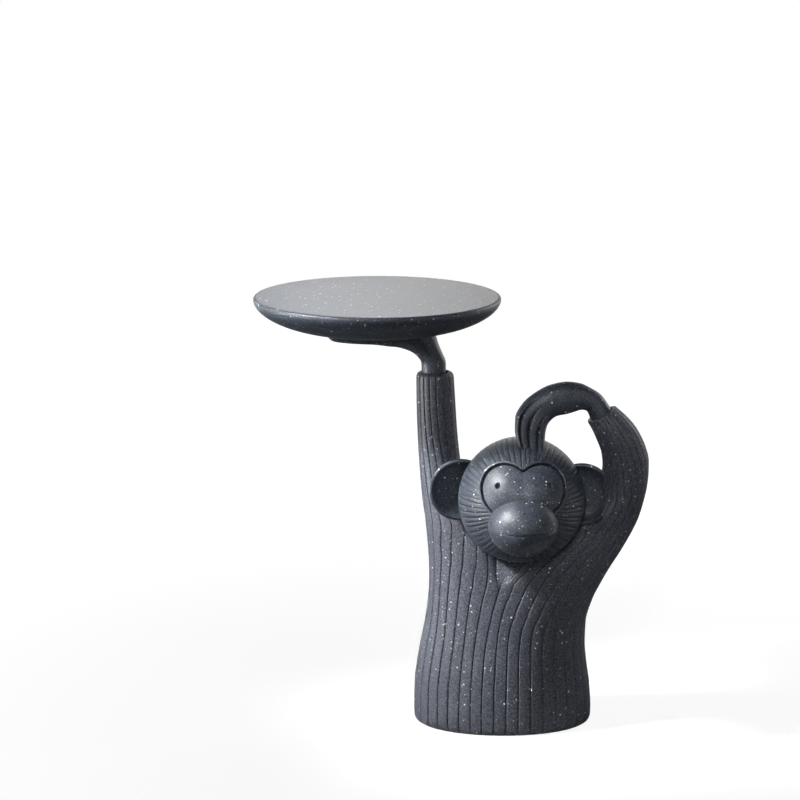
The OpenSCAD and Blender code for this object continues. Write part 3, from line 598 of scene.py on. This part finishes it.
# the pocket's wall: rows below the ball's face, and the share of the depth reached there
WALL_ROWS = np.array([-1, -0.85, -0.45, -0.12])
WALL_SHARES = np.array([1, 0.86, 0.4, 0.1])
POCKET_SPARE, LIP_DEEP, LIP_WIDE = 0.6, 0.8, 1.6
MOUTH_DEEP, MOUTH_ABOVE, MOUTH_BELOW = 2.6, 0.9, 2.0
MOUTH_ROWS = np.array([1.1, 0.9, 0.6, 0.3, 0, -0.5, -1.0, -1.5, -2.0, -2.3])
JAW_BACK, JAW_SOFT = 0.012, 1.5  # the jaw's share set back, and the mm over which it does


def from_face(points):
    """Face frame, with the face straight ahead, to the row frame."""
    c, s = math.cos(FACE_TURN), math.sin(FACE_TURN)
    x, y, z = np.moveaxis(points, -1, 0)
    return np.stack([c * x - s * y, s * x + c * y, z], -1) + HEAD_MIDDLE


def face_axes():
    """Unit axes about the middle of the face on the ball: out of it, across it and down it."""
    out = np.array([0.0, -math.sqrt(HEAD_R**2 - FACE_Z**2), FACE_Z]) / HEAD_R
    across = np.array([1.0, 0.0, 0.0])
    return out, across, np.cross(across, out)


def on_ball(angle, azimuth):
    """Unit direction at that angle from the face's middle, at that azimuth round it."""
    out, across, down = face_axes()
    angle, azimuth = angle[..., None], azimuth[..., None]
    return np.cos(angle) * out + np.sin(angle) * (
        np.cos(azimuth) * across + np.sin(azimuth) * down)


def mask_distance(x, z, more):
    """How far a point seen from the front lies outside the mask: two cheek circles, grown by
    more and blended over 5 mm where they meet, and an oval tongue under the muzzle."""
    left, right = (
        np.hypot(x - side * CHEEK_X, z - CHEEK_Z) - CHEEK_R - more for side in (-1, 1))
    both = np.maximum(CHEEK_BLEND - np.abs(left - right), 0)
    cheeks = np.minimum(left, right) - both**2 / (4 * CHEEK_BLEND)
    a, b = MUZZLE_HALF[[0, 2]] * TONGUE_SHARE
    tongue = (np.hypot(x / a, (z - MUZZLE_Z) / b) - 1) * b
    return np.minimum(cheeks, tongue)


def mask_edge(azimuth, more):
    """Angle from the face's middle at which each azimuth leaves the mask's outline."""
    angle = np.radians(np.linspace(12, 75, 900))
    d = on_ball(angle[None, :], azimuth[:, None]) * HEAD_R
    away = mask_distance(d[..., 0], d[..., 2], more)
    k = np.clip((away > 0).argmax(1), 1, len(angle) - 1)
    n = np.arange(len(azimuth))
    a, b = away[n, k - 1], away[n, k]
    return angle[k - 1] + (angle[k] - angle[k - 1]) * a / (a - b)


def fur_ball():
    """The head: a ball with a pocket for the mask and 64 fine grooves that run out from the mask
    to the back. Each is a V that sets in softly 1 to 3 mm outside the mask, at a place of its
    own, and fades towards the back."""
    chance = np.random.default_rng(4)
    whole = 2 * np.pi
    middle = (np.arange(HEAD_GROOVES) + 0.5) / HEAD_GROOVES * whole
    middle = middle + chance.uniform(-0.14, 0.14, HEAD_GROOVES) * whole / HEAD_GROOVES
    start = chance.uniform(1.0, 3.0, HEAD_GROOVES)
    pitch = np.append(np.diff(middle), middle[0] + whole - middle[-1])
    round_ = np.linspace(0, whole, 721)
    edge = mask_edge(round_, MASK_GAP)
    # rows: under the mask, down the pocket's wall, then 0 at the mask to 1 at the back
    rows = np.concatenate([
        -1 - np.linspace(1, 0, 5)[:-1], WALL_ROWS, np.linspace(0, 1, 130) ** 1.3])
    out = np.clip(rows, 0, 1)[:, None]
    # groove half width as a turn, by the ring's radius
    edge_at = np.interp(middle, round_, edge)
    gone = out * (np.pi - edge_at)
    ring = HEAD_R * np.maximum(np.sin(edge_at + gone), 0.05)
    half = np.minimum(HEAD_GROOVE_HALF / ring, 0.2 * pitch)
    span = (pitch - 2 * half) / HEAD_COLUMNS[-1]
    turn = np.stack([
        middle + half * min(place, 1) + span * max(place - 1, 0) for place in HEAD_COLUMNS], 2)
    begun = ease((gone * HEAD_R - start) / 3.0) * ease((0.97 - out) / 0.05)
    deep = HEAD_GROOVE_DEEP * np.maximum(1 - np.abs(HEAD_COLUMNS), 0)
    fading = 1 - FADE_SHARE * ease((gone * HEAD_R - FADE_START) / FADE_LENGTH)
    groove = (deep * (begun * fading)[:, :, None]).reshape(len(rows), -1)
    azimuth = turn.reshape(len(rows), -1)
    edge_at = np.interp(np.mod(azimuth, whole), round_, edge)
    angle = edge_at + out * (np.pi - edge_at)
    # inside the pocket the rows run on under the mask to its middle
    under = np.clip(-1 - rows, 0, 1)[:, None]
    angle = np.where(rows[:, None] < -1, edge_at * (1 - under), angle)
    wall = np.interp(rows, np.append(WALL_ROWS, 0), np.append(WALL_SHARES, 0))[:, None]
    far = (angle - edge_at) * HEAD_R
    lip = LIP_DEEP * np.clip(1 - far / LIP_WIDE, 0, 1) ** 2 * (rows >= 0)[:, None]
    r = HEAD_R - (MASK_DEEP + POCKET_SPARE) * wall - groove - lip
    points = from_face(on_ball(angle, azimuth) * r[..., None])
    n_rows, n_columns = points.shape[:2]
    flat = points.reshape(-1, 3)
    flat[:n_columns] = flat[:n_columns].mean(0)
    flat[-n_columns:] = flat[-n_columns:].mean(0)
    cells = closed_quads(n_rows, n_columns)[:, ::-1]
    return make_piece("fur_head", flat, cells, ["head_casting"], SHADED_SMOOTH_STONE)


def cheek_mask():
    """The face mask: on the ball, sunk a little at its edge, with a soft dome on each cheek, a
    parabola, the two joined by the log of their summed exponentials. It has an edge of 1.5 mm
    radius, a straight side down into the pocket and two plain round pits."""
    azimuth = np.linspace(0, 2 * np.pi, 521)[:-1]
    edge = mask_edge(azimuth, 0.0)
    out = np.append(np.linspace(0, 0.965, 96), [0.975, 0.984, 0.992, 0.998, 1, 1])
    angle = edge[None] * out[:, None]
    d = on_ball(angle, np.broadcast_to(azimuth, angle.shape))
    x, z = d[..., 0] * HEAD_R, d[..., 2] * HEAD_R
    domes = np.stack([
        1 - (np.hypot(x - side * CHEEK_X, z - CHEEK_Z) / CHEEK_R) ** 2 for side in (-1, 1)])
    sharp = 7  # the higher, the narrower the valley between the domes
    high = np.log(np.exp(domes * sharp).sum(0)) / sharp
    inward = np.maximum(-mask_distance(x, z, 0.0), 0)
    roll = MASK_EDGE - np.sqrt(
        np.maximum(MASK_EDGE**2 - np.clip(MASK_EDGE - inward, 0, MASK_EDGE) ** 2, 0))
    r = HEAD_R - MASK_SUNK + MASK_DOME * np.clip(high, 0, 1.2) - roll
    for side in (-1, 1):
        eye = np.array([
            side * math.sin(EYE_TURN) * math.cos(EYE_RISE),
            -math.cos(EYE_TURN) * math.cos(EYE_RISE), math.sin(EYE_RISE)])
        away = np.linalg.norm(d - eye, axis=-1) * HEAD_R / EYE_R
        r -= EYE_DEEP * (1 - ease((away - 0.7) / 0.35))
    r[-1] = HEAD_R - MASK_DEEP
    points = from_face(d * r[..., None])
    n_columns = len(azimuth)
    flat = points.reshape(-1, 3)
    flat[:n_columns] = flat[0]
    under = from_face(face_axes()[0] * (HEAD_R - MASK_DEEP))
    flat = np.vstack([flat, np.repeat(under[None], n_columns, 0)])
    cells = closed_quads(len(out) + 1, n_columns)[:, ::-1]
    return make_piece("cheek_mask", flat, cells, ["face_mask"], SHADED_SMOOTH_STONE)


def muzzle_piece():
    """The muzzle: an oval ball, turned about z, with one level mouth line cut 2.6 mm deep, steep
    above and with a sloped lip of 2 mm below, and a lower jaw that lies back by 1%."""
    tall = MUZZLE_HALF[2]
    line = (MOUTH_Z - MUZZLE_Z) / tall
    high = np.sin(np.radians(np.linspace(90, -90, 96)))
    # the even rows near the mouth line give way to its own
    high = high[np.abs(high - line + 0.6 / tall) > 2.1 / tall]
    high = np.sort(np.append(high, line + MOUTH_ROWS / tall))[::-1]
    above = (high - line) * tall
    cut = MOUTH_DEEP * np.clip(
        1 - np.where(above > 0, above / MOUTH_ABOVE, -above / MOUTH_BELOW), 0, 1)
    jaw = 1 - JAW_BACK * ease(-above / JAW_SOFT)
    flat_r = np.sqrt(np.maximum(1 - high**2, 0))
    a = np.linspace(0, 2 * np.pi, 241)[:-1]
    x = (flat_r * (jaw * MUZZLE_HALF[0] - cut))[:, None] * np.cos(a)
    y = (flat_r * (jaw * MUZZLE_HALF[1] - cut))[:, None] * np.sin(a) + MUZZLE_Y
    z = np.broadcast_to((high * tall * jaw)[:, None] + MUZZLE_Z, x.shape)
    points = from_face(np.stack([x, y, z], -1)).reshape(-1, 3)
    cells = closed_quads(len(high), len(a))[:, ::-1]
    return make_piece("smooth_muzzle", points, cells, ["muzzle"], SHADED_SMOOTH_STONE)


# ------------------------ turned pieces
def turned(profile, columns):
    """A profile of (radius, height) turned about z; its first and last points lie on the axis."""
    a = np.linspace(0, 2 * np.pi, columns + 1)[:-1]
    r, z = profile[:, 0:1], profile[:, 1:2]
    points = np.stack([r * np.cos(a), r * np.sin(a), z + 0 * a], -1).reshape(-1, 3)
    return points, closed_quads(len(profile), columns)


EAR_R, EAR_RIM, EAR_BAND, EAR_DISH, EAR_BACK = 45.5, 3.0, 4.2, 11.0, 14.0
EAR_POWER = 5
EAR_PLACE, EAR_TURN = np.array([88.0, 7.5, 9.5]), math.radians(-8.0)
EAR_SHIFT = 3.0  # the left ear sits that much higher, and the right one lower
EAR_CUT = 29.6  # the right ear is cut off along the bent arm, so far to the right of its middle


def ear_piece(name, side, node):
    """An ear: a bowl, its front hollowed as 1 - r^5, with an oval rim and a domed back.
    Where it is cut off, its front and back end in a straight wall."""
    a = np.linspace(0, 2 * np.pi, 257)[:-1]
    cut = EAR_CUT if side > 0 else 2 * EAR_R
    limit = np.minimum(cut / np.maximum(np.cos(a), 1e-3), EAR_R)[None]
    at = EAR_R - EAR_BAND
    end = np.minimum(limit, at)
    share = np.linspace(0, 1, 44)[:, None]
    turn = np.radians(np.linspace(90, -90, 17))[1:-1, None]

    def front(r):
        return EAR_RIM - EAR_DISH * (1 - (r / at) ** EAR_POWER)

    def back(r):
        return -EAR_RIM - EAR_BACK * (1 - (r / at) ** 2)

    middle, deep = (front(end) + back(end)) / 2, (front(end) - back(end)) / 2
    r = np.vstack([
        share * end, np.where(limit < at, limit, np.minimum(at + EAR_BAND * np.cos(turn), limit)),
        share[::-1] * end])
    high = np.vstack([front(share * end), middle + deep * np.sin(turn), back(share[::-1] * end)])
    # the bowl faces forwards and 8 degrees in towards the face, so its outer side shows
    c, s = math.cos(side * EAR_TURN), math.sin(side * EAR_TURN)
    x, y, z = r * np.cos(a), -high, r * np.sin(a)
    placed = np.stack([c * x - s * y, s * x + c * y, z], -1) + EAR_PLACE * [side, 1, 1]
    points = from_face(placed - np.array([0, 0, EAR_SHIFT * side])).reshape(-1, 3)
    return make_piece(name, points, closed_quads(len(r), len(a)), [node], SHADED_SMOOTH_STONE)


TRAY_X, TRAY_TOP, TRAY_R, TRAY_H, FOOT_R = -185.0, 640.0, 179.0, 49.0, 76.0
TRAY_LIP, TRAY_FOOT = 4.0, 1.0
BELLY_POWER = 1.8


def tray_piece():
    """The tray: flat foot, belly on a superellipse of power 1.8, a rounded edge of 4 mm radius
    and a flat top."""
    lip, foot = TRAY_LIP, TRAY_FOOT
    a = np.radians(np.linspace(90, 0, 70))
    power = 2 / BELLY_POWER
    belly = np.stack([
        FOOT_R + (TRAY_R - FOOT_R) * np.cos(a) ** power,
        foot + (TRAY_H - lip - foot) * (1 - np.sin(a) ** power)], 1)
    b = np.radians(np.linspace(0, 90, 14))[1:]
    edge = np.stack([TRAY_R - lip + lip * np.cos(b), TRAY_H - lip + lip * np.sin(b)], 1)
    top = np.stack([np.linspace(TRAY_R - lip - 2, 0, 30), np.full(30, TRAY_H)], 1)
    # the foot, with a soft corner
    under = np.array([[0, 0], [FOOT_R - 10, 0], [FOOT_R - 0.6, 0], [FOOT_R, 0.4]])
    points, cells = turned(np.vstack([under, belly, edge, top]), 320)
    points = points + np.array([TRAY_X, 0, TRAY_TOP - TRAY_H])
    return make_piece("round_tray", points, cells, ["tray"], SHADED_SMOOTH_STONE)


# ------------------------ hands
# outer edge x and z and inner edge x and z, as shares of the way from the cuff to the tray's
# middle and foot, half width as a share of the palm's, and how far the fingers are parted
TRAY_HAND = np.array([
    [-0.190, -0.060, 0.235, -0.060, 0.46, 0],
    [-0.185, 0.220, 0.240, 0.200, 0.46, 0],
    [-0.125, 0.440, 0.300, 0.350, 0.48, 0],
    [-0.060, 0.650, 0.410, 0.470, 0.55, 0],
    [-0.005, 0.880, 0.560, 0.550, 0.66, 0],
    [0.080, 1.110, 0.690, 0.590, 0.78, 0],
    [0.400, 1.160, 0.800, 0.605, 0.90, 0],
    [0.850, 1.160, 0.960, 0.640, 0.98, 0.1],
    [1.180, 1.150, 1.220, 0.680, 1.00, 0.4],
    [1.480, 1.140, 1.490, 0.735, 0.97, 0.8],
    [1.740, 1.120, 1.740, 0.790, 0.88, 1],
    [1.870, 1.080, 1.865, 0.860, 0.72, 1],
])
# outer edge x and z and inner edge x and z, x as a share of the way from the head's middle to
# the cuff and z in head radii, then y and half width in head radii, and parted
HEAD_HAND = np.array([
    [1.003, 1.637, 0.811, 1.393, 0.210, 0.169, 0],
    [0.874, 1.751, 0.746, 1.409, 0.190, 0.170, 0],
    [0.721, 1.841, 0.659, 1.381, 0.164, 0.176, 0],
    [0.555, 1.870, 0.554, 1.349, 0.133, 0.181, 0],
    [0.363, 1.832, 0.440, 1.327, 0.101, 0.181, 0],
    [0.170, 1.719, 0.361, 1.266, 0.056, 0.170, 0],
    [0.005, 1.556, 0.313, 1.191, -0.010, 0.154, 0.4],
    [-0.091, 1.349, 0.290, 1.088, -0.097, 0.131, 1],
    [-0.098, 1.173, 0.280, 1.001, -0.185, 0.111, 1],
    [-0.079, 1.026, 0.272, 0.903, -0.272, 0.092, 1],
    [-0.049, 0.924, 0.255, 0.790, -0.359, 0.077, 1],
])
PALM_HALF, PALM_Y = 38.0, 2.73
# the bent arm's wrist where it leaves the cuff: outer and inner edge x and z, and y, in shares
# of ELBOW_X and SADDLE_Z; its radius, and how far it goes into the cuff
WRIST_OUTER, WRIST_INNER, WRIST_Y = (0.738, 1.616), (0.573, 1.556), -0.239
WRIST_R, WRIST_IN = 16.5, 8.0
FINGER_WEB, FINGER_COLUMNS, FINGER_POWER = 0.28, 26, 3
HAND_ROWS = 130
SCALLOP = 0.04  # how much of its length a finger's edge falls short of its middle
HAND_END, PALM_THIN = 0.07, 0.1  # the share that closes, and by how much a palm narrows there


def quarter(x):
    """A quarter circle, from 1 at 0 down to 0 at 1."""
    return np.sqrt(np.maximum(1 - np.clip(x, 0, 1) ** 2, 0))


def hand(sections, across_y, bounds):
    """A hand lofted through sections [outer x, z, inner x, z, y, half width in y, parted]. A
    section is a round whose outline turns into four finger lobes between the places in bounds,
    each sqrt(1 - |x|^3) over a web of 0.28; the fingers end in scallops, and the last stretch
    closes in a round."""
    x = -np.cos(np.linspace(0, np.pi, FINGER_COLUMNS + 1))[:-1]
    low, high = np.array(bounds[:-1])[:, None], np.array(bounds[1:])[:, None]
    c = np.append(((low + high) / 2 + (high - low) / 2 * x).ravel(), bounds[-1])
    x = np.append(np.tile(x, len(bounds) - 1), 1.0)
    around = np.append(np.arange(len(c)), np.arange(len(c) - 2, 0, -1))
    side = np.append(np.ones(len(c)), -np.ones(len(c) - 2))
    ring_c, x = c[around], x[around]
    v = np.linspace(0, 1, HAND_ROWS)
    v = np.append(v[:-1], 1 - (1 - v[-2]) * np.array([0.6, 0.35, 0.15, 0.03, 0.0]))
    short = SCALLOP * (1 - quarter(np.abs(x)))
    at = v[:, None] * (1 - short[None, :]) * (len(sections) - 1)
    s = curve_through(np.arange(len(sections)), sections, at)
    lobe = FINGER_WEB + (1 - FINGER_WEB) * np.sqrt(
        np.maximum(1 - np.abs(x) ** FINGER_POWER, 0))
    # the outer fingers' outer sides, over the last quarter
    ends = quarter((np.abs(ring_c) - 0.75) / 0.25)
    oval = quarter(np.abs(ring_c))
    thick = oval + s[..., 6] * (lobe * ends - oval)
    close = quarter((v - (1 - HAND_END)) / HAND_END)[:, None]
    across, beside = np.broadcast_to(ring_c, thick.shape), side * thick * close
    if across_y:
        across, beside = -beside, across * (1 - PALM_THIN * (1 - close))
    flat = (s[..., 0:2] + s[..., 2:4]) / 2 + (s[..., 0:2] - s[..., 2:4]) / 2 * across[..., None]
    points = np.stack([flat[..., 0], s[..., 4] + s[..., 5] * beside, flat[..., 1]], -1)
    n_rows, n_columns = points.shape[:2]
    cells = grid_quads(n_rows, n_columns, around=True)
    hubs = np.vstack([points[0].mean(0), points[-1].mean(0)])
    first, last = np.arange(n_columns), (n_rows - 1) * n_columns + np.arange(n_columns)
    hub = np.full(n_columns, n_rows * n_columns)
    fans = [
        np.stack([first, hub, hub, np.roll(first, -1)], 1),
        np.stack([last, np.roll(last, -1), hub + 1, hub + 1], 1)]
    return np.vstack([points.reshape(-1, 3), hubs]), np.vstack([cells, *fans])


def tray_hand_piece():
    """The open palm under the tray, cut off level with the tray's foot."""
    s = TRAY_HAND
    x0, x1, z0, z1 = -CUFF_X, TRAY_X, CUFF_Z, TRAY_TOP - TRAY_H
    sections = np.stack([
        x0 + (x1 - x0) * s[:, 0], z0 + (z1 - z0) * s[:, 1], x0 + (x1 - x0) * s[:, 2],
        z0 + (z1 - z0) * s[:, 3], PALM_Y * (1 - s[:, 5]), s[:, 4] * PALM_HALF, s[:, 5]], 1)
    points, cells = hand(sections, True, (-1, -0.5, 0, 0.5, 1))
    points[:, 2] = np.minimum(points[:, 2], z1)
    return make_piece("tray_palm", points, cells, ["tray_hand"], SHADED_SMOOTH_STONE)


def head_hand_piece():
    """The hand that lies on the head: out of the cuff, over in a bow and down with its
    fingertips on the ball."""
    s = HEAD_HAND
    scale = np.array([ELBOW_X, SADDLE_Z])
    outer, inner = WRIST_OUTER * scale, WRIST_INNER * scale
    cuff = (outer + inner) / 2
    along = (outer - inner) / np.linalg.norm(outer - inner)
    across = along * WRIST_R
    inwards = np.array([along[1], -along[0]]) * WRIST_IN
    wrist = [[*(cuff + start + across), *(cuff + start - across), WRIST_Y * ELBOW_X, WRIST_R, 0]
             for start in (inwards, 0 * inwards)]
    x0, x1 = HEAD_MIDDLE[0], cuff[0]
    sections = np.stack([
        x0 + (x1 - x0) * s[:, 0], HEAD_MIDDLE[2] + s[:, 1] * HEAD_R,
        x0 + (x1 - x0) * s[:, 2], HEAD_MIDDLE[2] + s[:, 3] * HEAD_R,
        HEAD_MIDDLE[1] + s[:, 4] * HEAD_R, s[:, 5] * HEAD_R, s[:, 6]], 1)
    points, cells = hand(np.vstack([wrist, sections]), False, (-1, -0.48, 0.14, 0.7, 1))
    return make_piece("head_fingers", points, cells[:, ::-1], ["head_hand"], SHADED_SMOOTH_STONE)


ribbed_body()
fur_ball()
cheek_mask()
muzzle_piece()
ear_piece("left_ear_dish", -1, "left_ear")
ear_piece("right_ear_dish", 1, "right_ear")
tray_piece()
tray_hand_piece()
head_hand_piece()

# the hidden pieces stay the CAD's
for name in (
        "arm_rod", "wrist_dowel", "neck_dowel", "ear_pins", "tray_insert", "tray_screw",
        "tray_pin"):
    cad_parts[name].material_slots[0].material = STEEL
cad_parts["base_pad"].material_slots[0].material = RUBBER


# ------------------------ floor, world and lamps
WHITE = (1, 1, 1, 1)
FLOOR_HALF = 12.0  # metres


def looked_at(tree, rays):
    """1 where the camera looks, also through clear glass."""
    return calc(tree, "MAXIMUM", rays["Is Camera Ray"], rays["Is Transmission Ray"])


def studio_floor():
    """A wide matt paper floor in a grey that throws little light back up. The camera, and what
    is clear, see it with a glow on top, stronger away from the object, so that it is white and
    still holds the object's shadow; what shines sees that glow from 1 m on."""
    material, tree, place = new_material("matt_studio_paper")
    rays = add(tree, "ShaderNodeLightPath").outputs
    away = add(tree, "ShaderNodeVectorMath", {0: place}, operation="LENGTH").outputs["Value"]
    # both over a distance from the object in metres
    near_glow = ramp(tree, away, 0.4, 1.5, 0.9, 1.0, "SMOOTHSTEP")
    far_glow = ramp(tree, away, 1.0, 2.5, 0.0, 1.0, "SMOOTHSTEP")
    glow = calc(
        tree, "ADD", calc(tree, "MULTIPLY", looked_at(tree, rays), near_glow),
        calc(tree, "MULTIPLY", rays["Is Glossy Ray"], far_glow))
    paper = add(tree, "ShaderNodeBsdfDiffuse", {"Color": linear("#848484")})
    light = add(tree, "ShaderNodeEmission", {"Color": WHITE, "Strength": glow})
    both = add(tree, "ShaderNodeAddShader", {0: paper.outputs[0], 1: light.outputs[0]})
    add(tree, "ShaderNodeOutputMaterial", {"Surface": both.outputs[0]})
    mesh = bpy.data.meshes.new("studio_floor")
    w = FLOOR_HALF
    mesh.from_pydata([(-w, -w, 0), (w, -w, 0), (w, w, 0), (-w, w, 0)], [], [(0, 1, 2, 3)])
    mesh.materials.append(material)
    floor = bpy.data.objects.new("studio_floor", mesh)
    bpy.context.scene.collection.objects.link(floor)


def studio_world(light, seen):
    """Even light from all round at one strength, and white where the camera or clear glass
    looks. What shines sees that white as a wall behind the object."""
    world = bpy.data.worlds.new("studio_world")
    bpy.context.scene.world = world
    world.use_nodes = True
    tree = world.node_tree
    tree.nodes.clear()
    rays = add(tree, "ShaderNodeLightPath").outputs
    direction = add(tree, "ShaderNodeTexCoord").outputs["Generated"]
    towards = add(tree, "ShaderNodeSeparateXYZ", {0: direction}).outputs
    wall = ramp(tree, towards["Y"], 0.45, 0.85, 0.0, 1.0, "SMOOTHSTEP")
    shone = calc(tree, "MULTIPLY", rays["Is Glossy Ray"], wall)
    white_share = calc(tree, "MAXIMUM", looked_at(tree, rays), shone)
    soft = add(tree, "ShaderNodeBackground", {"Color": linear("#f6f8ff"), "Strength": light})
    white = add(tree, "ShaderNodeBackground", {"Color": WHITE, "Strength": seen})
    mixed = add(tree, "ShaderNodeMixShader", {
        0: white_share, 1: soft.outputs[0], 2: white.outputs[0]})
    add(tree, "ShaderNodeOutputWorld", {"Surface": mixed.outputs[0]})


def lamp(name, turn, rise, away, size, power, aim=(0, -0.05, 0.35), spread=180):
    """A square soft box seen from the object turn degrees to the right of the front and rise
    degrees up, that far from the aim and turned to it; size in metres, power in watts, and the
    angle over which its grid lets the light out."""
    data = bpy.data.lights.new(name, "AREA")
    data.size, data.energy, data.spread = size, power, math.radians(spread)
    made = bpy.data.objects.new(name, data)
    a, b = math.radians(turn), math.radians(rise)
    made.location = np.array(aim) + away * np.array([
        math.sin(a) * math.cos(b), -math.cos(a) * math.cos(b), math.sin(b)])
    made.rotation_euler = (math.pi / 2 - b, 0.0, a)
    bpy.context.scene.collection.objects.link(made)


studio_floor()
studio_world(light=0.05, seen=1.0)
# turn, rise, distance, size, power, and where it has a grid its aim and the grid's angle
lamp("key_soft_box", -75, 41, 1.6, 0.45, 1.9, (-0.11, -0.06, 0.27), 12.5)
lamp("side_soft_box", -84, 9, 3.6, 1.5, 37)
lamp("front_soft_box", -8, 26, 3.0, 0.5, 0.29, (0.13, -0.1, 0.5), 10)
lamp("right_soft_box", 44, 24, 3.6, 1.0, 8)
lamp("rim_soft_box", 128, 18, 3.6, 1.5, 30)
lamp("low_soft_box", -82, -5, 3.0, 0.5, 0.7, (-0.22, -0.05, 0.62), 11)
lamp("back_soft_box", 181, 13, 2.9, 0.6, 0.045, (-0.15, 0, 0.68), 11)
